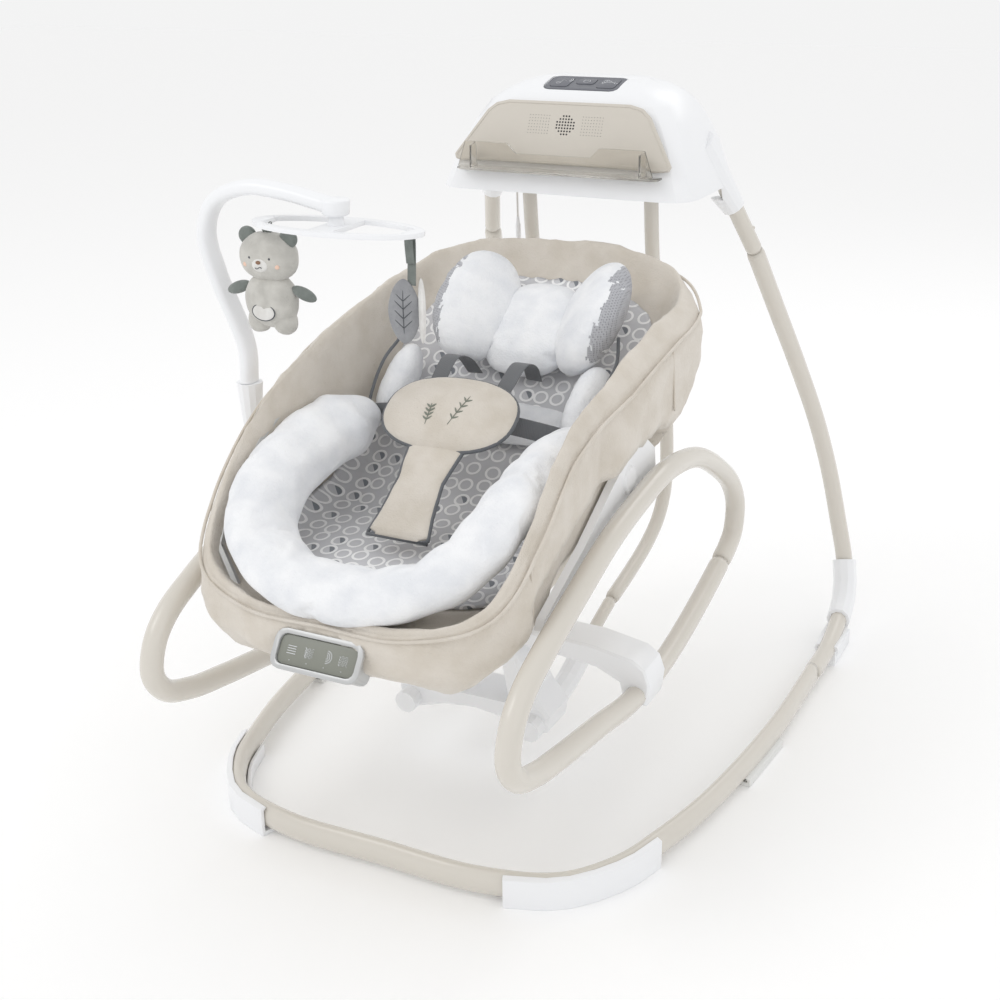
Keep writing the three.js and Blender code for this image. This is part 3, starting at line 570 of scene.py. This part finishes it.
PANEL = [(-150, -39), (150, -39), (167, -37), (170, -30), (128, 38), (115, 49), (95, 54), (-95, 54),
         (-115, 49), (-128, 38), (-170, -30), (-167, -37)]
PANEL_TURN = spin_x(66.8)
PANEL_AT = Vector((0, 150.2, 872))
PANEL_THICK = 7
GRILLE_STEP = 4.4                     # spacing of the grille's dots, and its height on the panel
GRILLE_Y = 20


def front_panel():
    """Beige shield with a stepped border, and a round cluster of dark dots between rows of small ones: the
    dots are painted shade standing for the speaker holes.
    """
    shape = bmesh.new()
    face = shape.faces.new([shape.verts.new((x, y, 0)) for x, y in PANEL])
    grown = bmesh.ops.extrude_face_region(shape, geom=[face])
    raised = [v for v in grown["geom"] if isinstance(v, bmesh.types.BMVert)]
    bmesh.ops.translate(shape, vec=(0, 0, PANEL_THICK), verts=raised)
    lid = next(f for f in grown["geom"] if isinstance(f, bmesh.types.BMFace))
    bmesh.ops.inset_region(shape, faces=[lid], thickness=4, depth=0)
    bmesh.ops.inset_region(shape, faces=[lid], thickness=0.8, depth=-0.8)
    edges = [e for e in shape.edges if e.calc_face_angle(0) > 0.9]
    bmesh.ops.bevel(shape, geom=edges, offset=1.2, segments=3, profile=0.5, affect="EDGES", material=-1)
    make("front_panel_shell", place(shape, PANEL_TURN, PANEL_AT), beige, "stand", "front_panel", sharp=30)
    dots = []
    for row in range(-3, 4):
        for column in range(-3, 4):
            if row * row + column * column <= 11:
                dots.append((column * GRILLE_STEP, GRILLE_Y + row * GRILLE_STEP, 1.35))
        for column in range(6, 14):
            dots += [(side * column * GRILLE_STEP, GRILLE_Y + row * GRILLE_STEP, 0.5) for side in (-1, 1)]
    discs = []
    for x, y, radius in dots:
        disc = bmesh.new()
        bmesh.ops.create_cone(disc, cap_ends=True, segments=10, radius1=radius, radius2=radius, depth=0.5)
        discs.append(place(disc, PANEL_TURN, PANEL_AT + PANEL_TURN @ Vector((x, y, PANEL_THICK - 0.85))))
    # painted shade: dark discs on the shield stand in for the holes, which are not modelled
    make("front_panel_grille", gather(*discs), black, "stand")


front_panel()
softened("tray", clear, "stand", 0.8)
softened("control_overlay", slate, "stand", 0.5)
for key in ("sound", "power", "swing_speed"):
    softened(f"{key}_key", slate, f"{key}_key", 0.25)


# ---- rocker frame ----

ROCKER_X = 250
ROCKER_R = 15
ROCKER_FRONT = [(-134, 179), (-200, 184), (-289, 201), (-414, 222), (-485, 237), (-535, 258), (-556, 290),
                (-546, 330), (-518, 359), (-456, 388), (-357, 422), (-264, 451), (-164, 469), (-74, 477),
                (47, 458), (150, 408), (222, 355), (247, 312), (240, 272), (215, 254), (184, 242)]
ROCKER_REAR = [(181, 240.6), (94, 215), (9, 195), (-60, 184), (-131, 179)]

for tag, side in SIDES.items():
    for name, bend, steps in (("rocker_tube", ROCKER_FRONT, 200), ("rocker_rail", ROCKER_REAR, 50)):
        loop = [(side * ROCKER_X, y, z) for y, z in bend]
        make(f"{name}_{tag}_skin", tube(loop, ROCKER_R, steps), powder, "rocker", f"{name}_{tag}")
softened("bridge", white, "rocker", 2.0)


# ---- seat ----

RIM = [(0, -528, 410), (108, -528, 413), (188, -493, 438), (210, -422, 510), (211, -330, 585),
       (210, -180, 633), (212, -50, 660), (212, 55, 675), (185, 115, 700), (105, 150, 717), (0, 160, 722)]
FLOOR = reading([(-528, 400), (-460, 414), (-330, 420), (-225, 428), (-150, 466), (30, 612), (160, 716)])
UNDER = reading([(-528, 352), (-490, 312), (-375, 292), (-225, 300), (-125, 345), (30, 480), (125, 600),
                 (160, 650)])
HEM_DROP = reading([(-528, 55), (-450, 90), (-330, 112), (-180, 128), (0, 118), (100, 80), (160, 60)])
FLARE = reading([(-528, 12), (-450, 20), (-330, 22), (-250, 28), (-180, 40), (-50, 42), (60, 38), (120, 20),
                 (160, 8)])
SEAT_MIDDLE = -190                    # Y that the seat's inner lines are drawn towards
SEAT_FRONT = -528
LINER = 16                            # the printed pad's thickness
WALL_POWER = 14                       # how late the seat's floor turns up into its walls
rim_curve = spline(RIM + mirrored(RIM[1:-1][::-1], -1), closed=True)
BRACKET_ROOM = [(-440, 372), (-440, 442), (-190, 536), (-90, 540), (-40, 528), (-40, 440), (-300, 380)]


def rim_point(u, out, down):
    """A point outside the rim: so far out along the flare and so far down the hem."""
    p = rim_curve(u % 1)
    t = rim_curve((u + 0.002) % 1) - rim_curve((u - 0.002) % 1)
    away = Vector((t.y, -t.x, 0)).normalized() * out * FLARE(p.y)
    return Vector((p.x + away.x, p.y + away.y, p.z - down * HEM_DROP(p.y)))


def inwards(p, r, line, power, lift=0.0):
    """Draws a point towards the seat's middle, onto a line that rises to the point's own height."""
    x, y = p.x * r, SEAT_MIDDLE + (p.y - SEAT_MIDDLE) * r
    return Vector((x, y, line(y) + (p.z - line(p.y)) * r ** power + lift))


def pad_line(y):
    """Height of the printed pad's underside, along the seat's middle."""
    return FLOOR(y) - LINER


def in_outline(y, z, outline):
    """Whether a place in side view lies inside a closed outline."""
    inside = False
    for (y0, z0), (y1, z1) in zip(outline, outline[1:] + outline[:1]):
        if (z0 > z) != (z1 > z) and y < y0 + (y1 - y0) * (z - z0) / (z1 - z0):
            inside = not inside
    return inside


def cover():
    """Padded shell: underside, hem, flared skirt, round rim and inner walls."""
    around, down = 224, 72
    hem = (0.85, 1)
    rings = []
    columns = []
    for i in range(around):
        u = i / around
        line = [inwards(rim_point(u, *hem), r, UNDER, 3) for r in (0.05, 0.4, 0.7, 0.9)]
        line += [rim_point(u, *s) for s in (hem, (1, 0.6), (0.92, 0.32), (0.6, 0.06), (0.12, -0.06))]
        line += [inwards(rim_curve(u), r, pad_line, WALL_POWER) for r in (0.95, 0.86, 0.78, 0.5, 0.05)]
        curve = spline(line)
        columns.append([curve(k / down) for k in range(down + 1)])
    for k in range(down + 1):
        rings.append([columns[i][k] for i in range(around)])
    for k, ring in enumerate(rings):
        s = k / down
        skirt = max(0.0, 1 - abs(s - 0.36) / 0.12)
        for i, p in enumerate(ring):
            u = i / around
            out = Vector((p.x, p.y - SEAT_MIDDLE, 0)).normalized()
            fold = math.sin(math.tau * (u * 17 + 0.6 * noise.noise(Vector((u * 9, s * 2, 0)))))
            p += out * skirt * (1.8 * fold)
            near_front = max(0.0, 1 - math.hypot(p.x / 100, (p.y - SEAT_FRONT) / 60))
            gathered = near_front * max(0.0, 1 - abs(s - 0.42) / 0.2)
            p += out * gathered * 2.6 * math.sin(p.x / 3.4)
            if abs(s - 0.555) < 0.007:
                p -= Vector((0, 0, 1.6))
    shape = ruffle(ruffle(loft(rings), 4.2, 75), 1.3, 24, 5.0)
    for v in shape.verts:
        reach = 230 if v.co.y < -240 else 250
        if in_outline(v.co.y, v.co.z, BRACKET_ROOM):
            reach = 215
        v.co.x = math.copysign(min(abs(v.co.x), reach), v.co.x)
    return make("seat_cover_cloth", shape, velour, "seat", "seat_cover")


def liner():
    """Printed pad, quilted, with pleats where its top edge is gathered."""
    around, reach = 200, 0.88
    radii = [0.03, 0.2, 0.38, 0.55, 0.68, 0.76, 0.81, 0.85, reach]
    front = reading([(-500, 0.86), (-380, 1.0)])
    edge = [rim_curve(i / around) for i in range(around)]
    rings = [[inwards(p, r * front(p.y), pad_line, WALL_POWER, 3) for p in edge] for r in radii]
    for r in radii[::-1]:
        lift = LINER - (LINER - 6) * (r / reach) ** 6
        ring = []
        for q in edge:
            p = inwards(q, r * front(q.y), pad_line, WALL_POWER, lift)
            top = max(0.0, (p.y - 30) / 100) * (r / reach) ** 3
            p.z += 2.2 * top * math.sin(p.x / 5.0)
            ring.append(p)
        rings.append(ring)
    shape = loft(rings)
    bmesh.ops.subdivide_edges(shape, edges=shape.edges, cuts=1, use_grid_fill=True)
    return make("seat_liner_cloth", ruffle(shape, 1.6, 42, 7.0), cotton, "seat", "seat_liner")


def seams():
    """Corded seams: one all round outside the rim, and four down the skirt."""
    around = [rim_point(i / 200, 0.86, 0.14) for i in range(200)]
    lines = [sweep([p + Vector((p.x, p.y - SEAT_MIDDLE, 0)).normalized() * 1.5 for p in around],
                   oval(2.2, 2.2, 10), closed=True)]
    for u in (0.14, 0.3, 0.7, 0.86):
        drop = [rim_point(u, 0.86 + 0.12 * t / 10, 0.14 + 0.08 * t) for t in range(10)]
        lines.append(sweep(drop, oval(1.6, 1.6, 8)))
    make("cover_seams", gather(*lines), velour, "seat")


def pad_height(x, y):
    """Height of the printed pad's upper side."""
    return FLOOR(y) + 190 * min(1, abs(x) / 208) ** WALL_POWER


def seam(points, radius, closed=True):
    """A piped edge along the points."""
    return sweep(points, oval(radius, radius, 10), closed=closed)


def slope(y):
    """The printed pad's rise at y, in degrees."""
    return math.degrees(math.atan2(FLOOR(y + 30) - FLOOR(y - 30), 60))


def lie(shape, x, y, lift, roll=0.0, yaw=0.0):
    """Lays a pad on the printed pad at that place, so far above it."""
    turn = spin_x(slope(y)) @ spin_y(roll) @ spin_z(yaw)
    return place(shape, turn, Vector((x, y, pad_height(x, y) + lift)))


BOLSTER = [(152, -165, 540), (160, -235, 532), (163, -315, 522), (158, -390, 504), (136, -450, 468),
           (78, -488, 442), (0, -498, 432)]


def bolster():
    """White U round the seat, leaning on its walls, thinner at its ends."""
    line = along(mirrored(BOLSTER[:-1], -1) + BOLSTER[::-1], 110)
    rings = []
    for i, p in enumerate(line):
        t = i / (len(line) - 1)
        ahead = (line[min(i + 1, len(line) - 1)] - line[max(i - 1, 0)]).normalized()
        bank = 38 * min(1, abs(p.x) / 140) ** 1.5
        out = Vector((p.x * 1.2, p.y + 270, 0)).normalized()
        side = (out * math.cos(math.radians(bank)) + Vector((0, 0, math.sin(math.radians(bank)))))
        side = (side - ahead * side.dot(ahead)).normalized()
        lift = side.cross(ahead)
        lift = lift if lift.z > 0 else -lift
        end = min(1, min(t, 1 - t) * 13 + 0.04) ** 0.5
        puff = 1 + 0.06 * math.sin(i * 0.9) + 0.05 * noise.noise(p / 30)
        rings.append([p + side * a + lift * b for a, b in oval(50 * end, 30 * end * puff, 40, 0.9)])
    shape = loft(rings)
    return inflate(make("bolster_cloth", ruffle(shape, 2.0, 45, 3.0), snow, "seat", "bolster"))


def head_pillow():
    """A white middle with two round wings, white inside and air mesh outside."""
    middle = make("pillow_middle", lie(pad(70, 80, 20, 0.75), 18, 10, 32), snow, "seat", "head_pillow")
    pieces = [inflate(middle, cap=6)]
    for tag, side in SIDES.items():
        wing = lie(pad(60, 88, 28, 0.95, 0.9), side * 90 + 20, 4, 64, side * -40)
        piece = inflate(make(f"pillow_wing_{tag}", wing, snow, "seat"), cap=6)
        piece.data.materials.append(mesh_cloth)
        facing = Vector((side * 0.85, -0.3, 0.3))
        for face in piece.data.polygons:
            if face.normal.dot(facing) > 0.62:
                face.material_index = 1
        pieces.append(piece)
    return pieces


WING_TOP = [(158, -172, 512), (166, -140, 552), (170, -95, 590), (168, -50, 612), (160, -25, 640)]


def body_support():
    """White side wings beside the body, with grey piping along their tops."""
    wings = [lie(pad(24, 66, 34, 0.9), side * 146, -95, 44, side * -22) for side in (-1, 1)]
    back = lie(pad(120, 34, 5, 0.6), 0, -95, 12)
    make("body_support_cloth", ruffle(gather(*wings, back), 1.5, 35), snow, "seat", "body_support")
    for tag, side in SIDES.items():
        top = along(mirrored(WING_TOP, side), 30)
        make(f"wing_piping_{tag}", seam(top, 2.4, False), piping, "seat")


CROTCH = [(0, -362, 446), (0, -338, 466), (0, -296, 502), (0, -250, 534)]
BELLY = (-4, -207, 563)
BELLY_LEAN = 33


def crotch_pad():
    """Beige pad that rises from the seat's front to the belly pad, piped all round."""
    width = reading([(0, 44), (0.25, 37), (0.6, 32), (1, 40)])

    def section(t):
        close = 1 if 0.03 < t < 0.97 else 0.75
        return oval(width(t) * close, 6 * close, 28, 0.75)
    line = along(CROTCH, 40)
    shape = ruffle(sweep(line, section, across=(1, 0, 0)), 0.8, 25)
    make("crotch_pad_cloth", shape, velour, "seat", "crotch_pad")
    outline = [Vector((width(i / 40), 0, 0)) + p for i, p in enumerate(line)]
    outline += [Vector((-width(i / 40), 0, 0)) + p for i, p in reversed(list(enumerate(line)))]
    make("crotch_piping", seam(outline, 2.6), piping, "seat")


def belly_pad():
    """Leaning oval pad with a piped edge and two embroidered sprigs."""
    tilt = spin_x(BELLY_LEAN)
    shape = place(pad(96, 62, 15, 0.85), tilt, BELLY)
    make("belly_pad_cloth", ruffle(shape, 0.8, 30), velour, "seat", "belly_pad")
    edge = [tilt @ Vector((x, y, 0)) + Vector(BELLY) for x, y in oval(95, 61, 72, 0.85)]
    make("belly_piping", seam(edge, 2.8), piping, "seat")
    stitches = []
    for x0, y0, lean, length in ((12, -26, 14, 52), (-20, -30, -6, 34)):
        tip = (x0 + length * math.sin(math.radians(lean)), y0 + length * math.cos(math.radians(lean)))
        stitches.append(((x0, y0), tip))
        for k in range(1, 5):
            t = k / 5
            px, py = x0 + (tip[0] - x0) * t, y0 + (tip[1] - y0) * t
            for turn_by in (-48, 48):
                a = math.radians(lean + turn_by)
                stitches.append(((px, py), (px + 9 * math.sin(a), py + 9 * math.cos(a))))
    strokes = []
    for (x0, y0), (x1, y1) in stitches:
        points = []
        for k in range(7):
            x, y = x0 + (x1 - x0) * k / 6, y0 + (y1 - y0) * k / 6
            rise = 15.6 * max(0.0, 1 - (x / 98) ** 2 - (y / 64) ** 2) ** 0.5
            points.append(tilt @ Vector((x, y, rise)) + Vector(BELLY))
        strokes.append(sweep(points, lambda t: oval(1.5 * math.sin(math.pi * (0.12 + 0.8 * t)), 0.6, 8)))
    make("belly_sprig", gather(*strokes), sprig, "seat")


WAIST = [(-166, -150, 528), (-120, -165, 540), (-60, -190, 556), (0, -196, 560), (60, -190, 556),
         (120, -165, 540), (166, -150, 528)]
SHOULDER = [(46, -52, 574), (50, -75, 600), (52, -110, 612), (50, -150, 592), (46, -176, 574)]


def flat_strap(name, route, width, nodes, across=None):
    shape = sweep(along(route, 40), oval(width / 2, 0.9, 16, 0.4), across=across)
    make(name, shape, strap, "seat", *nodes)


def straps():
    flat_strap("waist_webbing", WAIST, 25, ["waist_strap"], across=(0, 0.35, 1))
    for tag, side in SIDES.items():
        route = mirrored(SHOULDER, side)
        flat_strap(f"shoulder_webbing_{tag}", route, 24, [f"shoulder_strap_{tag}"], across=(1, 0, 0))


UNIT_AT = (0, -546.7, 366)            # the foot unit's back, its lean and its film's height
UNIT_LEAN = 55
FILM_TOP = 7.55


def vibration_unit():
    """The foot unit, its film, and generic marks: lines, waves and arcs over small dashes."""
    softened("vibration_unit", silver, "seat", 0.8)
    softened("mode_panel", lens, "mode_panel", 0.5)
    back = Matrix.Translation(UNIT_AT) @ spin_x(UNIT_LEAN)

    def on_face(points):
        return [back @ Vector((x, y, FILM_TOP)) for x, y in points]
    marks = []
    for k in range(4):
        x = -36 + 24 * k
        for row in range(4):
            wave = 1.6 if k in (1, 3) else 0
            line = [(x - 6 + t, 5 - 3 * row + wave * math.sin(t * 1.2 + k)) for t in range(13)]
            if k != 2:
                marks.append(line)
        if k == 2:
            for radius in (2.5, 5, 7.5):
                turns = [a / 6 for a in range(-9, 10)]
                marks.append([(x + radius * math.cos(a), 1 + radius * math.sin(a)) for a in turns])
        marks.append([(x - 0.6, -12), (x + 0.6, -12)])
    strokes = [sweep(on_face(line), oval(0.45, 0.2, 6)) for line in marks]
    make("mode_marks", gather(*strokes), ink, "mode_panel")


cover_cloth = cover()
liner_cloth = liner()
seams()
bolster()
for wing in head_pillow():
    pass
body_support()
crotch_pad()
belly_pad()
straps()
vibration_unit()


# ---- toys ----

HUB = (-105, -300, 846)
POST = [(-283, -262, 590), (-283, -262, 640), (-304, -284, 740), (-306, -298, 800), (-284, -302, 842),
        (-235, -302, 862), (-180, -301, 860), HUB]


def toy_arm():
    """One bent bar from the seat's side, with a round hub at its end."""
    bar = sweep(along(POST, 90), oval(15, 10, 28, 0.8), across=(0, 1, 0))
    hub = bmesh.new()
    bmesh.ops.create_cone(hub, cap_ends=True, segments=40, radius1=17, radius2=19, depth=20)
    edges = [e for e in hub.edges if e.calc_face_angle(0) > 1]
    bmesh.ops.bevel(hub, geom=edges, offset=3, segments=4, profile=0.5, affect="EDGES", material=-1)
    place(hub, Matrix(), HUB)
    make("toy_arm_shell", gather(bar, hub), white, "toy_arm", "toy_arm", sharp=30)


toy_arm()
softened("toy_ring", white, "toy_ring", 1.2)


BEAR_AT = (-209, -300, 817.6)         # where each toy hangs from the ring
LEAVES_AT = (-1, -300, 817.6)


def ribbon_loop(x, y, z, length):
    """A folded ribbon that goes round the ring's end and down to a toy."""
    half = z - length / 2
    route = [(x, y, z - length), (x, y + 2, half), (x, y + 3, z), (x, y + 2, z + 8), (x, y - 3, z + 8),
             (x, y - 4, z), (x, y - 1, half)]
    return sweep(along(route, 30), oval(6, 0.6, 12, 0.4), across=(1, 0, 0))


def bear():
    """A plush bear on a ribbon, simplified from the photograph's."""
    x, y, z = BEAR_AT
    body = [(0, 0, -42, 42, 23, 32), (0, 0, -98, 38, 22, 36)]
    parts = [place(pad(a, c, b, 0.9), spin_x(90), (x + px, y + py, z + pz)) for px, py, pz, a, b, c in body]
    legs = [place(pad(16, 16, 14, 0.9), spin_x(90), (x + s * 20, y - 1, z - 126)) for s in (-1, 1)]
    make("bear_plush", ruffle(gather(*parts, *legs), 0.7, 18), toy_plush, "bear", "bear")
    ears = [place(pad(13, 12, 7, 1), spin_x(90), (x + s * 31, y, z - 17)) for s in (-1, 1)]
    arms = [place(pad(19, 8, 7, 1), spin_y(s * 20) @ spin_x(90), (x + s * 50, y, z - 86)) for s in (-1, 1)]
    loop = ribbon_loop(x, y, z - 6, 10)
    make("bear_ears_and_arms", gather(*ears, *arms, loop), sage_plush, "bear")
    muzzle = place(pad(12, 9, 4, 1), spin_x(90), (x, y - 21, z - 49))
    patch = place(pad(17, 11, 2, 1), spin_x(90), (x, y - 20.4, z - 110))
    make("bear_pale_patches", gather(muzzle, patch), pale_cloth, "bear")
    rim = [Vector((x + a, y - 20.6, z - 110 + b)) for a, b in oval(17, 11, 40)]
    eyes = []
    for s in (-1, 1):
        eye = bmesh.new()
        bmesh.ops.create_uvsphere(eye, u_segments=12, v_segments=8, radius=1.7)
        eyes.append(place(eye, Matrix(), (x + s * 15, y - 21.6, z - 40)))
    mouth = [Vector((x - 5 + k, y - 25.2, z - 52 - 1.2 * math.sin(math.pi * k / 5))) for k in range(11)]
    make("bear_stitching", gather(seam(rim, 0.8), *eyes, seam(mouth, 0.5, False)), thread, "bear")
    nose = place(pad(3.6, 2.4, 1.6, 1), spin_x(90), (x, y - 25.2, z - 45))
    make("bear_nose", nose, nose_thread, "bear")
    cheeks = [place(pad(3.6, 3, 1.6, 1), spin_x(90), (x + s * 24, y - 18.6, z - 50)) for s in (-1, 1)]
    make("bear_cheeks", gather(*cheeks), cheek, "bear")


def leaves():
    """Two cloth leaves on a long ribbon; one is dark with stitched veins, one is pale."""
    x, y, z = LEAVES_AT
    dark_at = (x - 10, y - 3, z - 93)
    dark_turn = spin_z(12)
    dark = place(pad(21, 41, 4.5, 1.15), dark_turn @ spin_x(90), dark_at)
    make("leaf_dark", dark, leaf_cloth, "leaves", "leaves")
    pale = place(pad(20, 41, 4.5, 1.15), spin_z(-55) @ spin_x(90), (x + 11, y + 4, z - 92))
    make("leaf_pale", pale, pale_cloth, "leaves")
    veins = []
    turn = Matrix.Translation(dark_at) @ dark_turn
    side_veins = [((0, h), (s * 11, h + 10)) for h in (-20, -8, 4, 14) for s in (-1, 1)]
    for (x0, z0), (x1, z1) in [((0, -32), (0, 32))] + side_veins:
        points = []
        for k in range(7):
            u, w = x0 + (x1 - x0) * k / 6, z0 + (z1 - z0) * k / 6
            points.append(turn @ Vector((u, -4.7 * max(0.05, 1 - (u / 17) ** 2 - (w / 37) ** 2) ** 0.5, w)))
        veins.append(seam(points, 0.6, False))
    make("leaf_veins", gather(*veins), thread, "leaves")
    make("leaves_ribbon", ribbon_loop(x, y, z - 6, 54), sage_plush, "leaves")


bear()
leaves()


# ---- marks on the control head ----

OVERLAY_AT = (0, 226, 941)            # the overlay's own plane, its lean, and the keys' faces above it
OVERLAY_LEAN = 14
KEY_TOP = 4.0


def head_marks():
    """Generic line icons on the keys: notes, a power ring and a speed arc with dots."""
    face = Matrix.Translation(OVERLAY_AT) @ spin_x(OVERLAY_LEAN)

    def arc(cx, cy, r, a0, a1, count=16):
        turns = [math.radians(a0 + (a1 - a0) * k / count) for k in range(count + 1)]
        return [(cx + r * math.cos(a), cy + r * math.sin(a)) for a in turns]
    groups = {
        "sound_key": [arc(-42, -4, 3, 0, 360), [(-39, -4), (-39, 8), (-33, 6)], arc(-30, 8, 4, -60, 60),
                      arc(-30, 8, 7, -60, 60)],
        "power_key": [arc(0, 6, 5, 120, 420), [(0, 7), (0, 13)]],
        "swing_speed_key": [arc(37, -6, 11, 20, 160), arc(31, 8, 4.5, 0, 360), [(31, 8), (31, 11)]] + [
            arc(37 + 14 * math.cos(a / 2), -6 + 14 * math.sin(a / 2), 0.6, 0, 360, 6) for a in range(1, 6)],
    }
    for body, lines in groups.items():
        strokes = []
        for line in lines:
            strokes.append(sweep([face @ Vector((px, py, KEY_TOP)) for px, py in line], oval(0.45, 0.25, 6)))
        make(body + "_marks", gather(*strokes), ink, body)


head_marks()


# ---- light, floor and camera; lengths are in metres ----

LAMPS = (("key", (-1.8, -2.2, 3.2), 20, 1.6), ("fill", (2.6, -1.6, 2.2), 5, 2.4),
         ("rim", (0.6, 2.4, 2.8), 10, 1.6))           # name, place, watts and width
LAMPS_FACE = Vector((0, -0.1, 0.45))
CAMERA_AT = (0.9039, -1.8579, 1.184)
CAMERA_AZIMUTH = 26.845
CAMERA_ELEVATION = 21.524
CAMERA_ROLL = -0.832


def floor_and_light():
    """A white floor and world, and three soft lamps."""
    plain = material("Plain pale floor", "white", "#ffffff", 0.9)[0]
    mesh = bpy.data.meshes.new("floor")
    plane = bmesh.new()
    bmesh.ops.create_grid(plane, x_segments=1, y_segments=1, size=12)
    plane.to_mesh(mesh)
    plane.free()
    mesh.materials.append(plain)
    floor = bpy.data.objects.new("floor", mesh)
    bpy.context.scene.collection.objects.link(floor)
    world = bpy.data.worlds.new("studio")
    world.use_nodes = True
    world.node_tree.nodes["Background"].inputs[0].default_value = (1, 1, 1, 1)
    world.node_tree.nodes["Background"].inputs[1].default_value = 0.9
    bpy.context.scene.world = world
    for name, at, power, size in LAMPS:
        light = bpy.data.lights.new(name, "AREA")
        light.energy = power
        light.size = size
        lamp = bpy.data.objects.new(name, light)
        lamp.location = at
        lamp.rotation_euler = (LAMPS_FACE - Vector(at)).to_track_quat("-Z", "Y").to_euler()
        bpy.context.scene.collection.objects.link(lamp)


def camera():
    """The photograph's view, as fitted: its focal length was chosen."""
    azimuth, elevation, roll = (math.radians(a) for a in (CAMERA_AZIMUTH, CAMERA_ELEVATION, CAMERA_ROLL))
    lens_data = bpy.data.cameras.new("camera")
    lens_data.lens = 54
    lens_data.sensor_width = 36
    view = bpy.data.objects.new("camera", lens_data)
    turn = Matrix.Rotation(azimuth, 4, "Z") @ Matrix.Rotation(math.pi / 2 - elevation, 4, "X")
    view.matrix_world = Matrix.Translation(CAMERA_AT) @ turn @ Matrix.Rotation(roll, 4, "Z")
    bpy.context.scene.collection.objects.link(view)
    bpy.context.scene.camera = view


floor_and_light()
camera()
bpy.context.scene.view_settings.view_transform = "Standard"
